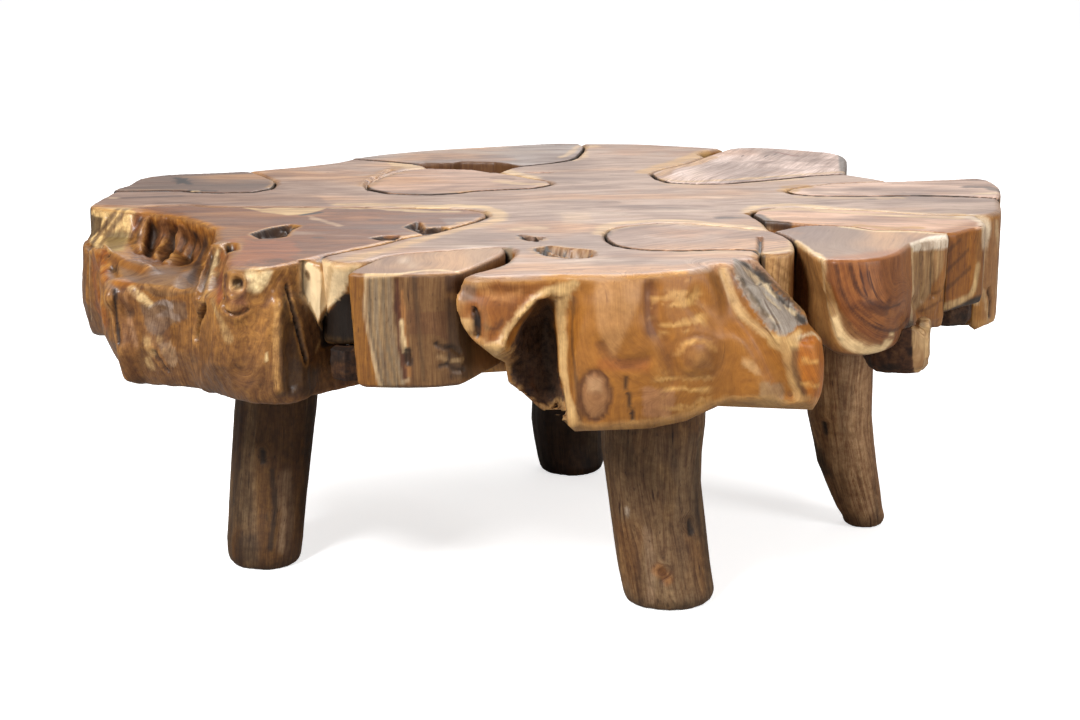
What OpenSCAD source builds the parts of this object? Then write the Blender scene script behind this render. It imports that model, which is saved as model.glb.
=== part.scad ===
// Teak root coffee table: slices of teak root fitted side by side on four splayed legs.
// Millimetres. The origin is on the floor under the middle of the top, +X right, +Y back, +Z up.

/* [Table] */
// Overall width of the root top, left to right
table_w = 1209; // [1090:1:1330]
// Overall depth of the root top, front to back
table_d = 1028; // [930:1:1120]
// Height of the polished top above the floor
table_h = 440; // [410:5:470]

/* [Root slices] */
// Thickness of the main root slice
slab_t = 150; // [140:5:165]
// Extra thickness of the front lobe of the main slice
lobe_extra_t = 32; // [16:2:40]
// Thickness of the eroded left root
left_root_t = 164; // [152:2:176]
// Thickness of the front left block
block_t = 132; // [118:2:144]
// Thickness of the right block
right_block_t = 115; // [100:5:130]
// Thickness of the lens let into the front lobe
lens_t = 80; // [70:5:95]
// Thickness of the strip at the right end
strip_t = 98; // [88:2:115]
// Thickness of the tongue at the right back
right_back_t = 128; // [110:2:134]
// Thickness of the fitted piece at the back right
back_right_t = 136; // [120:2:148]
// Thickness of the fitted piece at the back
back_t = 132; // [120:2:148]
// Thickness of the fitted lobe left of the middle
lobe_t = 124; // [110:2:140]
// Thickness of the fitted piece at the left back
left_back_t = 138; // [120:2:148]

/* [Edges and seams] */
// Width of the seam between two fitted pieces
seam_gap = 1.6; // [0.8:0.2:2.4]
// Rounding of the polished outer edge
edge_round = 4; // [3:0.5:8]
// Rounding of the lower outer edge
foot_round = 9; // [6:1:14]
// Easing of the seams at the polished face
seam_ease = 1; // [0.4:0.2:1.6]

/* [Seam dowels] */
// Diameter of the dowels across the seams
dowel_d = 16; // [10:1:20]
// Length of each dowel
dowel_l = 80; // [60:5:90]
// Depth of the dowels below the polished face
dowel_drop = 58; // [45:1:65]
// Clearance round a dowel in its hole
dowel_fit = 0.15; // [0.05:0.05:0.3]

/* [Legs] */
// Diameter of the front leg at its top
front_leg_d = 128; // [110:2:140]
// Diameter of the left leg at its top
left_leg_d = 108; // [96:2:120]
// Diameter of the right leg at its top
right_leg_d = 92; // [80:2:96]
// Diameter of the back leg at its top
back_leg_d = 110; // [96:2:124]
// Depth that each leg top is let into the underside
leg_seat = 10; // [6:1:16]
// Height of the round shoulder cut on each leg top
leg_shoulder = 48; // [46:1:60]
// Clearance round a leg shoulder in its seat
leg_fit = 0.3; // [0.1:0.1:0.6]

/* [Leg fixings] */
// Diameter of the hanger stud in each leg
stud_d = 10; // [8:1:12]
// Length of the stud inside the leg
stud_in_leg = 60; // [45:5:80]
// Length of the stud inside the threaded insert
stud_in_top = 26; // [20:1:30]
// Outer diameter of the threaded insert
insert_d = 18; // [16:1:22]
// Length of the threaded insert
insert_l = 32; // [31:1:38]
// Diameter of the insert's flange
flange_d = 26; // [24:1:32]
// Thickness of the insert's flange
flange_t = 2; // [1.5:0.5:3]
// Clearance between a fixing and its hole
fixing_fit = 0.1; // [0.05:0.05:0.2]

/* [Under-blocks] */
// Thickness of the chunk under the right block
under_block_t = 38; // [30:1:44]
// Height that the chunk's upturned end reaches above its plate
upturned_end_h = 28; // [20:1:36]
// Thickness of the chunk under the right branch
end_block_t = 29; // [22:1:34]
// Thickness of the chunk in the gap at the front left
gap_block_t = 38; // [30:1:44]
// Height of the gap chunk's foot above the underside of the main slice
gap_block_lift = 10; // [6:1:14]
// Gap between an under-block and what it is screwed to
block_fit = 0.2; // [0.1:0.1:0.3]
// Diameter of the screws through the under-blocks
screw_d = 6; // [5:0.5:8]
// Diameter of the screw heads
screw_head_d = 12; // [10:1:14]
// Length of each screw that bites above its block
screw_bite = 28; // [20:1:36]

/* [Hidden] */

// The plan below is drawn at this size, about its own middle, and stretched to the driving sizes
drawn_w = 1209;
drawn_d = 1028;
middle = [-0.4, -11.9];
// Spacing of the points that a free edge and a seam are drawn with
free_step = 18;
seam_step = 34;
// Heights at which a slice is drawn, as shares of its thickness from the top
slab_levels = [0, 0.015, 0.05, 0.18, 0.34, 0.5, 0.66, 0.82, 0.92, 0.98, 1];
ledge_levels = [0, 0.015, 0.05, 0.12, 0.2, 0.26, 0.38, 0.54, 0.7, 0.84, 0.92, 0.98, 1];
plain_levels = [0, 0.015, 0.05, 0.45, 0.88, 0.97, 1];

underside = table_h - slab_t;
seat_z = underside + leg_seat;
dowel_z = table_h - dowel_drop;
round_fn = 48;

function plan(p) = [(p.x - middle.x) * table_w / drawn_w, (p.y - middle.y) * table_d / drawn_d];
function flip(p) = [for (i = [len(p) - 1 : -1 : 0]) p[i]];

// Seams, shared by the two pieces that meet there, in the order that the main slice follows them
seam_left_front = [[-600, -55], [-570, -60], [-520, -60], [-473, -51], [-440, -65], [-370, -65],
    [-276, -68], [-213, -73], [-150, -76], [-112, -83], [-88, -104], [-84, -132], [-98, -166],
    [-132, -221], [-154, -254], [-180, -277], [-205, -318], [-245, -362], [-268, -390]];
seam_block = [[-206, -415], [-194, -394], [-172, -376], [-133, -363], [-88, -345], [-62, -338]];
seam_strip = [[258, -165], [249, -122], [257, -96], [284, -72], [312, -74], [359, -85], [406, -98],
    [471, -126], [528, -127]];
seam_right_back = [[585, 2], [568, 8], [535, 15], [476, 22], [399, 18], [340, 22], [320, 36],
    [311, 54], [322, 76], [378, 115], [415, 124], [466, 138]];
seam_back_right = [[411, 203], [361, 188], [315, 159], [275, 138], [238, 120], [195, 117],
    [160, 127], [145, 160], [138, 206], [155, 241], [195, 296], [228, 366]];
seam_back = [[42, 499], [49, 470], [47, 439], [35, 361], [24, 330], [0, 305], [-46, 275]];
seam_back_left = [[-199, 297], [-237, 319], [-296, 343]];
seam_lobe = [[-80, 213], [-56, 190], [-28, 157], [-8, 138], [-2, 112], [-28, 81], [-72, 69],
    [-106, 59], [-131, 40], [-166, 28], [-218, 39], [-248, 70], [-255, 106], [-249, 132],
    [-232, 184], [-218, 218], [-205, 237], [-177, 251]];
seam_left_back = [[-436, 226], [-422, 214], [-395, 162], [-382, 136], [-382, 76], [-403, 49],
    [-448, 43], [-477, 49], [-498, 59], [-549, 60], [-590, 55]];
seam_block_strip = [[472, -250], [433, -231], [384, -228], [364, -206], [326, -195]];
seam_lens = [[262, -236], [232, -219], [210, -207], [165, -186], [137, -182], [110, -190],
    [86, -204], [66, -225], [59, -255], [61, -290], [70, -323], [86, -342], [110, -354],
    [145, -357], [184, -351], [213, -350], [232, -357], [235, -379]];

// Open edges of the gaps between fitted pieces
notch_side = [[-62, -338], [-48, -352], [-50, -380], [-57, -421]];
lens_side = [[233, -377], [252, -380], [268, -372], [276, -346], [279, -299], [273, -262],
    [264, -238], [260, -200], [258, -165]];
back_right_gap = [[228, 366], [220, 385], [224, 408], [241, 428], [262, 446]];
back_gap_right = [[-46, 275], [-62, 258], [-74, 232], [-80, 213]];
back_gap_left = [[-177, 251], [-180, 274], [-199, 297]];
slot = [[-22, -331], [-6, -356], [12, -388], [28, -400], [40, -388], [41, -367], [33, -355],
    [5, -349], [-10, -337]];

// Free edges of the main slice
left_end = [[-590, 55], [-594, 20], [-599, -20], [-600, -55]];
right_end = [[528, -127], [550, -121], [566, -100], [577, -50], [583, -15], [585, 2]];
right_back_shoulder = [[466, 138], [441, 172], [411, 203]];
back_end = [[262, 446], [225, 465], [180, 482], [135, 496], [85, 500], [42, 499]];
left_back_shoulder = [[-296, 343], [-316, 310], [-363, 272], [-400, 250], [-436, 226]];
tongue = [[0, [[-268, -390], [-264, -412], [-250, -431], [-234, -434], [-218, -426], [-206, -415]]],
    [0.3, [[-268, -390], [-264, -401], [-254, -410], [-240, -413], [-222, -410], [-206, -415]]],
    [0.6, [[-268, -390], [-263, -397], [-253, -403], [-239, -407], [-222, -408], [-206, -415]]],
    [1, [[-268, -390], [-262, -396], [-252, -401], [-238, -404], [-222, -407], [-206, -415]]]];
// The front lobe runs from the curled lip over the charred hollow to the end of the diagonal root
front_lobe = [
    [0, [[-57, -421], [-70, -450], [-92, -480], [-102, -498], [-84, -508], [-52, -502], [-17, -499], [8, -500],
        [30, -502], [60, -500], [91, -493], [118, -484], [140, -475], [165, -461], [183, -447],
        [200, -425], [212, -402], [222, -386], [233, -377]]],
    [0.25, [[-57, -421], [-72, -452], [-98, -482], [-117, -506], [-102, -524], [-66, -526], [-34, -510], [-8, -470],
        [14, -486], [30, -505], [75, -506], [115, -497], [148, -484], [180, -466], [208, -458],
        [240, -445], [256, -422], [250, -394], [233, -377]]],
    [0.5, [[-57, -421], [-66, -450], [-82, -478], [-91, -506], [-80, -522], [-60, -516], [-42, -466], [-18, -438],
        [10, -468], [20, -500], [65, -508], [115, -502], [155, -486], [195, -468], [240, -470],
        [285, -462], [300, -438], [284, -410], [233, -377]]],
    [0.75, [[-57, -421], [-60, -432], [-60, -441], [-55, -448], [-46, -450], [-37, -447], [-26, -442], [-10, -444],
        [10, -468], [20, -500], [60, -506], [112, -498], [155, -480], [200, -462], [250, -470],
        [296, -462], [306, -438], [289, -410], [233, -377]]],
    [1, [[-57, -421], [-54, -430], [-49, -438], [-43, -444], [-36, -449], [-28, -453], [-18, -458], [-4, -465],
        [10, -474], [22, -486], [60, -488], [105, -480], [148, -465], [196, -452], [245, -460],
        [288, -454], [298, -432], [282, -410], [233, -377]]]];

// Free edge of the eroded left root: the rim of its bowl, the ledge in front of it, and its foot
left_root_edge = [
    [0, [[-600, -55], [-576, -84], [-530, -100], [-492, -122], [-464, -147], [-444, -174], [-425, -198],
        [-411, -228], [-405, -270], [-390, -320], [-375, -375], [-372, -425], [-358, -456],
        [-330, -462], [-298, -436], [-268, -390]]],
    [0.2, [[-600, -55], [-582, -86], [-538, -108], [-504, -134], [-478, -164], [-460, -194],
        [-440, -224], [-420, -258], [-412, -296], [-400, -340], [-382, -385], [-375, -435],
        [-358, -462], [-330, -465], [-298, -440], [-268, -390]]],
    [0.26, [[-600, -55], [-603, -84], [-596, -118], [-584, -152], [-562, -186], [-553, -226],
        [-545, -266], [-520, -304], [-482, -338], [-442, -362], [-412, -390], [-385, -440],
        [-356, -468], [-328, -468], [-298, -446], [-268, -390]]],
    [0.7, [[-600, -55], [-605, -86], [-600, -118], [-588, -152], [-560, -186], [-552, -230],
        [-545, -270], [-522, -310], [-484, -344], [-444, -370], [-412, -398], [-385, -440],
        [-352, -466], [-322, -464], [-294, -444], [-268, -390]]],
    [1, [[-600, -55], [-598, -84], [-590, -116], [-574, -150], [-545, -182], [-538, -226],
        [-522, -264], [-497, -302], [-464, -338], [-428, -364], [-398, -390], [-372, -430],
        [-342, -455], [-314, -454], [-288, -436], [-268, -390]]]];

front_block_edge = [
    [0, [[-62, -338], [-58, -352], [-64, -385], [-80, -425], [-95, -460], [-112, -486], [-135, -492],
        [-167, -493], [-208, -492], [-229, -486], [-224, -462], [-215, -438], [-206, -415]]],
    [1, [[-62, -338], [-58, -352], [-64, -385], [-80, -420], [-92, -450], [-105, -474], [-130, -484],
        [-162, -488], [-200, -486], [-221, -480], [-218, -458], [-212, -436], [-206, -415]]]];
right_block_edge = [
    [0, [[263, -236], [274, -262], [283, -306], [288, -350], [290, -390], [300, -408], [331, -414],
        [366, -402], [395, -367], [416, -318], [443, -287], [468, -275], [472, -250]]],
    [0.5, [[266, -240], [280, -270], [292, -310], [302, -352], [312, -396], [324, -413], [347, -419],
        [376, -404], [400, -371], [419, -324], [441, -290], [466, -270], [472, -250]]],
    [1, [[268, -240], [285, -275], [296, -310], [308, -354], [317, -390], [328, -402], [350, -406],
        [372, -394], [394, -365], [407, -324], [428, -290], [452, -268], [472, -250]]]];
strip_edge = [[472, -250], [482, -247], [503, -224], [526, -201], [532, -161], [528, -127]];
right_back_edge = [[585, 2], [597, 48], [604, 99], [601, 148], [588, 166], [552, 156], [510, 147],
    [466, 138]];
back_right_edge = [[411, 203], [417, 240], [425, 290], [432, 345], [429, 380], [417, 404],
    [390, 420], [358, 440], [330, 452], [304, 458], [284, 454], [268, 443]];
back_edge = [[42, 499], [9, 502], [-35, 488], [-79, 471], [-130, 452], [-184, 430], [-220, 408],
    [-256, 384], [-296, 343]];
back_gap_side = [[-199, 297], [-170, 298], [-144, 302], [-134, 315], [-85, 310], [-46, 275]];
lobe_gap_side = [[-80, 213], [-88, 214], [-115, 241], [-145, 246], [-177, 251]];
left_back_edge = [[-436, 226], [-486, 211], [-520, 204], [-542, 196], [-562, 180], [-575, 158],
    [-580, 104], [-590, 78], [-590, 55]];
back_right_gap_side = [[268, 443], [250, 408], [228, 366]];
strip_gap_side = [[258, -165], [284, -175], [326, -195]];
right_block_gap_side = [[326, -195], [299, -202], [279, -222], [263, -236]];
// Corners of the lens pocket that lie outside the main slice
pocket_outside = [[236, -386], [310, -386], [310, -234]];
lens_edge = [[235, -379], [252, -380], [268, -372], [276, -346], [279, -299], [273, -262],
    [262, -236]];

// Local changes of thickness: place, reach and change
slab_under = [[[30, -462], 70, lobe_extra_t], [[120, -430], 70, lobe_extra_t + 4],
    [[290, -425], 45, 20], [[-595, 0], 60, 14], [[-60, -440], 36, -14]];
left_root_under = [[[-585, -180], 60, -16], [[-500, -300], 50, 12], [[-350, -440], 60, -6]];

// Dowels: place on a seam and the heading of the dowel
dowels_left_front = [[[-400, -65], 90], [[-180, -75], 90], [[-166, -264], -36]];
dowels_block = [[[-165, -373], 110], [[-98, -349], 108]];
dowels_left_back = [[[-382, 106], 0], [[-448, 43], 88]];
dowels_lobe = [[[-195, 33], 78], [[-50, 74], 104]];
dowels_back = [[[41, 400], 10], [[-248, 324], 68]];
dowels_back_right = [[[216, 117], 88], [[172, 264], -36], [[372, 192], 108]];
dowels_right_back = [[[440, 21], 88], [[350, 96], 125]];
dowels_strip = [[[300, -72], 88], [[430, -108], 68]];
dowels_right_block = [[[345, -201], 72], [[412, -229], 90]];
dowels_lens = [[[60, -270], 0], [[140, -182], 90]];
slab_dowels = concat(dowels_left_front, dowels_block, dowels_left_back, dowels_lobe, dowels_back,
    dowels_back_right, dowels_right_back, dowels_strip, dowels_lens);
all_dowels = concat(slab_dowels, dowels_right_block);

// Legs: height as a share of the leg, centre and width there, from the foot up
front_leg = [[0, [138, -313], 110], [0.15, [132, -308], 112], [0.32, [125, -300], 114],
    [0.48, [119, -297], 115], [0.6, [117, -294], 121], [0.72, [118, -291], 127]];
left_leg = [[0, [-372, -174], 95], [0.1, [-371, -171], 99], [0.26, [-367, -161], 101],
    [0.46, [-361, -156], 104], [0.64, [-355, -150], 107], [0.76, [-351, -147], 107]];
right_leg = [[0, [419, -24], 58], [0.08, [413, -23], 64], [0.15, [407, -20], 71], [0.29, [394, -23], 82],
    [0.38, [389, -25], 84], [0.52, [381, -29], 89], [0.74, [379, -32], 90]];
back_leg = [[0, [28, 233], 97], [0.06, [27, 235], 99], [0.15, [24, 240], 104], [0.25, [22, 238], 107],
    [0.5, [23, 236], 103], [0.76, [24, 235], 108]];
front_leg_top = [118, -290];
left_leg_top = [-350, -146];
right_leg_top = [380, -32];
back_leg_top = [24, 235];
slab_leg_seats = [[front_leg_top, front_leg_d], [right_leg_top, right_leg_d], [back_leg_top, back_leg_d]];
all_leg_tops = [front_leg_top, left_leg_top, right_leg_top, back_leg_top];
leg_sides = 20;
foot_inset = 7;
foot_rise = 12;

// Under-blocks: outline and screw places
right_under_outline = [[374, -330], [404, -342], [434, -338], [444, -318], [440, -296], [420, -262],
    [386, -250], [368, -284]];
upturned_end_outline = [[425, -336], [440, -334], [445, -318], [441, -303], [433, -303], [423, -318]];
end_under_outline = [[460, -198], [488, -208], [512, -196], [522, -166], [518, -120], [486, -98],
    [460, -112], [452, -150]];
gap_under_outline = [[-258, -416], [-240, -428], [-222, -420], [-217, -396], [-221, -370],
    [-234, -363], [-250, -386]];
right_under_top = table_h - right_block_t;
end_under_top = table_h - strip_t;
gap_under_top = underside + gap_block_lift + gap_block_t;
right_under_screws = [[394, -318], [402, -278]];
end_under_screws = [[486, -178], [490, -144]];
gap_under_screws = [[-238, -396], [-230, -376]];
screw_head_t = 4;
screw_sink = 3;
// Corners of the two rebates that the under-blocks of the main slice sit in
gap_rebate = [[-280, -450], [-196, -352]];
end_rebate = [[440, -220], [530, -88]];

// Curves through hand-drawn points
function spline_at(p, i, u) =
    let (a = p[max(i - 1, 0)], b = p[i], c = p[i + 1], d = p[min(i + 2, len(p) - 1)])
    0.5 * (2 * b + (c - a) * u + (2 * a - 5 * b + 4 * c - d) * u * u
        + (3 * b - a - 3 * c + d) * u * u * u);
function counts(p, step) =
    [for (i = [0 : len(p) - 2]) max(1, round(norm(p[i + 1] - p[i]) / step))];
function curve(p, n) = [for (i = [0 : len(p) - 2]) for (k = [0 : n[i] - 1]) spline_at(p, i, k / n[i])];
function whole_curve(p, step) = concat(curve(p, counts(p, step)), [p[len(p) - 1]]);

// An edge of a slice: its outline at some heights, and 1 where it is free or 0 at a seam or gap.
// Where a free edge meets a seam, the point that they share is half rounded.
function seam(p) = [[[0, p], [1, p]], 0];
function free(p) = [[[0, p], [1, p]], 1];
function shaped(sections) = [sections, 1];
function section_at(s, t) =
    let (i = [for (k = [0 : len(s) - 2]) if (t <= s[k + 1][0]) k][0],
        u = (t - s[i][0]) / (s[i + 1][0] - s[i][0]))
    s[i][1] * (1 - u) + s[i + 1][1] * u;
function edge_points(e, before, t) =
    let (n = counts(section_at(e[0], 0), e[1] == 1 ? free_step : seam_step),
        drawn = curve(section_at(e[0], t), n))
    [for (i = [0 : len(drawn) - 1])
        let (q = plan(drawn[i])) [q.x, q.y, i == 0 ? (e[1] + before[1]) / 2 : e[1]]];

function local_depth(p, under) =
    len(under) == 0 ? 0 : [for (m = under) m[2] * exp(-pow(norm(p - plan(m[0])) / m[1], 2))]
        * [for (m = under) 1];
function quarter(r, s) = s >= r ? 0 : r - sqrt(r * r - (r - s) * (r - s));

// One closed ring of a slice at the share t of its thickness
function slice_ring(edges, t, thick, under) =
    let (sides = len(edges),
        raw = [for (k = [0 : sides - 1]) each edge_points(edges[k], edges[(k + sides - 1) % sides], t)],
        n = len(raw))
    [for (i = [0 : n - 1])
        let (a = raw[(i + n - 1) % n], b = raw[i], c = raw[(i + 1) % n],
            along = [c.x - a.x, c.y - a.y] / norm([c.x - a.x, c.y - a.y]),
            depth = thick + local_depth([b.x, b.y], under),
            from_top = t * depth,
            rounded = quarter(edge_round, from_top) + quarter(foot_round, depth - from_top),
            inset = b.z * rounded + (1 - b.z) * (seam_gap / 2 + (t == 0 ? seam_ease : 0)))
        [b.x - along.y * inset, b.y + along.x * inset, table_h - from_top]];

// Triangles that close a ring, cut off ear by ear
function turn(a, b, c) = (b.x - a.x) * (c.y - a.y) - (b.y - a.y) * (c.x - a.x);
function covers(p, a, b, c) = turn(a, b, p) >= 0 && turn(b, c, p) >= 0 && turn(c, a, p) >= 0;
function is_ear(p, left, k) =
    let (n = len(left), a = left[(k + n - 1) % n], b = left[k], c = left[(k + 1) % n])
    turn(p[a], p[b], p[c]) > 0.01
        && len([for (j = left) if (j != a && j != b && j != c && covers(p[j], p[a], p[b], p[c])) 1]) == 0;
function without(left, k) = [for (i = [0 : len(left) - 1]) if (i != k) left[i]];
function ears(p, left, k, made) =
    len(left) == 3 ? concat(made, [left])
    : let (n = len(left), at = k % n)
        is_ear(p, left, at)
            ? ears(p, without(left, at), at + 1,
                concat(made, [[left[(at + n - 1) % n], left[at], left[(at + 1) % n]]]))
            : ears(p, left, at + 1, made);

// A closed solid through rings of equal length, listed from the top down, each counterclockwise
module skin(rings) {
    n = len(rings[0]);
    last = (len(rings) - 1) * n;
    top = ears(rings[0], [for (i = [0 : n - 1]) i], 0, []);
    bottom = ears(rings[len(rings) - 1], [for (i = [0 : n - 1]) i], 0, []);
    sides = [for (r = [0 : len(rings) - 2]) for (i = [0 : n - 1])
        let (a = r * n + i, b = r * n + (i + 1) % n)
        each [[a, b, a + n], [b, b + n, a + n]]];
    polyhedron(
        points = [for (r = rings) each r],
        faces = concat(
            [for (f = top) [f[2], f[1], f[0]]],
            sides,
            [for (f = bottom) [f[0] + last, f[1] + last, f[2] + last]]));
}

module slice(edges, thick, under = [], levels = plain_levels) {
    skin([for (t = levels) slice_ring(edges, t, thick, under)]);
}

module at_dowels(places) {
    for (d = places)
        translate([plan(d[0]).x, plan(d[0]).y, dowel_z])
            rotate([90, 0, d[1] + 90])
                children();
}

module dowel_holes(places) {
    at_dowels(places)
        cylinder(d = dowel_d + 2 * dowel_fit, h = dowel_l + 2 * dowel_fit, center = true, $fn = round_fn);
}

module leg_seat_cut(place, top_d) {
    translate([plan(place).x, plan(place).y, seat_z - leg_shoulder])
        cylinder(d = top_d + 2 * leg_fit, h = leg_shoulder, $fn = round_fn);
    translate([plan(place).x, plan(place).y, seat_z - 1])
        insert_shape(fixing_fit);
}

module insert_shape(gap) {
    cylinder(d = flange_d + 2 * gap, h = flange_t + 1 + gap, $fn = round_fn);
    cylinder(d = insert_d + 2 * gap, h = insert_l + 1 + gap, $fn = round_fn);
}

module at_screws(places, z) {
    for (p = places) translate([plan(p).x, plan(p).y, z]) children();
}

module rebate(corners, z) {
    low = plan(corners[0]);
    high = plan(corners[1]);
    translate([low.x, low.y, underside - slab_t])
        cube([high.x - low.x, high.y - low.y, z + block_fit - underside + slab_t]);
}

module pilot_holes(places, z) {
    at_screws(places, z - 1)
        cylinder(d = screw_d + 2 * fixing_fit, h = screw_bite + 1 + block_fit + fixing_fit, $fn = round_fn);
}

module root_slab() {
    pocket = [for (p = concat(whole_curve(seam_lens, seam_step), pocket_outside)) plan(p)];
    slot_outline = [for (p = whole_curve(concat(slot, [slot[0]]), free_step)) plan(p)];
    color("#8a5c38")
        difference() {
            slice([seam(seam_left_front), shaped(tongue), seam(seam_block), seam(notch_side),
                shaped(front_lobe), seam(lens_side), seam(seam_strip), free(right_end),
                seam(seam_right_back), free(right_back_shoulder), seam(seam_back_right),
                seam(back_right_gap), free(back_end), seam(seam_back), seam(back_gap_right),
                seam(seam_lobe), seam(back_gap_left), seam(seam_back_left), free(left_back_shoulder),
                seam(seam_left_back), free(left_end)], slab_t, slab_under, slab_levels);
            translate([0, 0, table_h - lens_t])
                linear_extrude(lens_t + 1) polygon(pocket);
            translate([0, 0, underside - slab_t])
                linear_extrude(2 * slab_t + 1) polygon(slot_outline);
            rebate(gap_rebate, gap_under_top);
            rebate(end_rebate, end_under_top);
            dowel_holes(slab_dowels);
            for (s = slab_leg_seats) leg_seat_cut(s[0], s[1]);
            pilot_holes(gap_under_screws, gap_under_top);
        }
}

module left_front_root() {
    color("#8f5a2e")
        difference() {
            slice([seam(flip(seam_left_front)), shaped(left_root_edge)], left_root_t, left_root_under,
                ledge_levels);
            dowel_holes(dowels_left_front);
            leg_seat_cut(left_leg_top, left_leg_d);
        }
}

module front_left_block() {
    color("#a87f52")
        difference() {
            slice([seam(flip(seam_block)), shaped([for (s = front_block_edge) [s[0], flip(s[1])]])],
                block_t);
            dowel_holes(dowels_block);
        }
}

module left_back_infill() {
    color("#6f5443")
        difference() {
            slice([free(left_back_edge), seam(flip(seam_left_back))], left_back_t);
            dowel_holes(dowels_left_back);
        }
}

module lobe_infill() {
    color("#84593f")
        difference() {
            slice([seam(flip(seam_lobe)), seam(lobe_gap_side)], lobe_t);
            dowel_holes(dowels_lobe);
        }
}

module back_infill() {
    color("#8b6244")
        difference() {
            slice([free(back_edge), seam(flip(seam_back_left)), seam(back_gap_side),
                seam(flip(seam_back))], back_t);
            dowel_holes(dowels_back);
        }
}

module back_right_infill() {
    color("#7c5944")
        difference() {
            slice([free(back_right_edge), seam(back_right_gap_side),
                seam(flip(seam_back_right))], back_right_t);
            dowel_holes(dowels_back_right);
        }
}

module right_back_infill() {
    color("#84604a")
        difference() {
            slice([free(right_back_edge), seam(flip(seam_right_back))], right_back_t);
            dowel_holes(dowels_right_back);
        }
}

module right_strip_infill() {
    color("#9a6a3c")
        difference() {
            slice([free(strip_edge), seam(flip(seam_strip)),
                seam(strip_gap_side), seam(flip(seam_block_strip))], strip_t);
            dowel_holes(dowels_strip);
            dowel_holes(dowels_right_block);
            pilot_holes(end_under_screws, end_under_top);
        }
}

module right_block() {
    color("#9c6231")
        difference() {
            slice([shaped(right_block_edge), seam(seam_block_strip), seam(right_block_gap_side)],
                right_block_t);
            dowel_holes(dowels_right_block);
            pilot_holes(right_under_screws, right_under_top);
        }
}

module front_lens_infill() {
    color("#8c6a52")
        difference() {
            slice([seam(seam_lens), free(lens_edge)], lens_t - block_fit);
            dowel_holes(dowels_lens);
        }
}

// A rough chunk of root: an outline that swells and draws in, as shares of its height and of its width
module chunk(outline, height, top_z, shape) {
    ring = whole_curve(concat(outline, [outline[0]]), free_step);
    loop = [for (i = [0 : len(ring) - 2]) plan(ring[i])];
    centre = [for (p = loop) 1] * loop / len(loop);
    skin([for (s = shape)
        [for (p = loop) let (q = centre + (p - centre) * s[1]) [q.x, q.y, top_z - s[0] * height]]]);
}

// A chunk with a flat top and a rounded foot, and holes for the screws that come up through it
module under_block(outline, thick, top_z, screws) {
    difference() {
        chunk(outline, thick, top_z, [[0, 0.97], [0.3, 1], [0.75, 0.98], [1, 0.84]]);
        at_screws(screws, top_z - thick - 1)
            cylinder(d = screw_d + 2 * fixing_fit, h = thick + 2, $fn = round_fn);
        at_screws(screws, top_z - thick - 1)
            cylinder(d = screw_head_d + 2 * fixing_fit, h = screw_sink + screw_head_t + 1, $fn = round_fn);
    }
}

// The end of this chunk turns up beside the block
module right_under_block() {
    color("#7d5229") {
        under_block(right_under_outline, under_block_t, right_under_top - block_fit, right_under_screws);
        chunk(upturned_end_outline, upturned_end_h + under_block_t / 2, right_under_top + upturned_end_h,
            [[0, 0.55], [0.06, 0.86], [0.2, 1], [0.5, 0.9], [1, 0.96]]);
    }
}

module right_end_under_block() {
    color("#4b3420")
        under_block(end_under_outline, end_block_t, end_under_top - block_fit, end_under_screws);
}

module left_under_block() {
    color("#4a321f")
        under_block(gap_under_outline, gap_block_t, gap_under_top, gap_under_screws);
}

// A peeled branch: rings of an uneven round, from the seat in the underside down to the floor
function leg_ring(centre, d, z, swell, phase) =
    [for (i = [0 : leg_sides - 1])
        let (a = 360 * i / leg_sides,
            r = d / 2 * (1 + swell * (cos(2 * a + phase) + 0.6 * cos(3 * a - phase)) ))
        [centre.x + r * cos(a), centre.y + r * sin(a), z]];

module leg(stations, top, top_d, phase) {
    foot = stations[0];
    foot_c = plan(foot[1]);
    body = [for (i = [len(stations) - 1 : -1 : 1])
        leg_ring(plan(stations[i][1]), stations[i][2], stations[i][0] * seat_z, 0.02, phase + 14 * i)];
    difference() {
        skin(concat(
            [leg_ring(plan(top), top_d, seat_z, 0, 0),
                leg_ring(plan(top), top_d, seat_z - leg_shoulder, 0, 0)],
            body,
            [leg_ring(foot_c, foot[2], foot_rise, 0.02, phase),
                leg_ring(foot_c, foot[2] - foot_inset * 0.6, foot_rise / 3, 0.02, phase),
                leg_ring(foot_c, foot[2] - 2 * foot_inset, 0, 0.02, phase)]));
        translate([plan(top).x, plan(top).y, seat_z - stud_in_leg])
            cylinder(d = stud_d + 2 * fixing_fit, h = stud_in_leg + 1, $fn = round_fn);
    }
}

module leg_front() {
    color("#6f5338") leg(front_leg, front_leg_top, front_leg_d, 20);
}

module leg_left() {
    color("#6a4e35") leg(left_leg, left_leg_top, left_leg_d, 70);
}

module leg_right() {
    color("#6d5138") leg(right_leg, right_leg_top, right_leg_d, 130);
}

module leg_back() {
    color("#5d442e") leg(back_leg, back_leg_top, back_leg_d, 200);
}

module seam_dowels() {
    color("#c49a64")
        at_dowels(all_dowels)
            cylinder(d = dowel_d, h = dowel_l, center = true, $fn = round_fn);
}

module leg_studs() {
    color("#9a9da1")
        for (p = all_leg_tops)
            translate([plan(p).x, plan(p).y, seat_z - stud_in_leg + fixing_fit])
                cylinder(d = stud_d, h = stud_in_leg + stud_in_top - fixing_fit, $fn = round_fn);
}

module leg_inserts() {
    color("#b08d4a")
        for (p = all_leg_tops)
            translate([plan(p).x, plan(p).y, seat_z])
                difference() {
                    union() {
                        cylinder(d = flange_d, h = flange_t, $fn = round_fn);
                        cylinder(d = insert_d, h = insert_l, $fn = round_fn);
                    }
                    translate([0, 0, -1])
                        cylinder(d = stud_d + 2 * fixing_fit, h = insert_l + 2, $fn = round_fn);
                }
}

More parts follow.
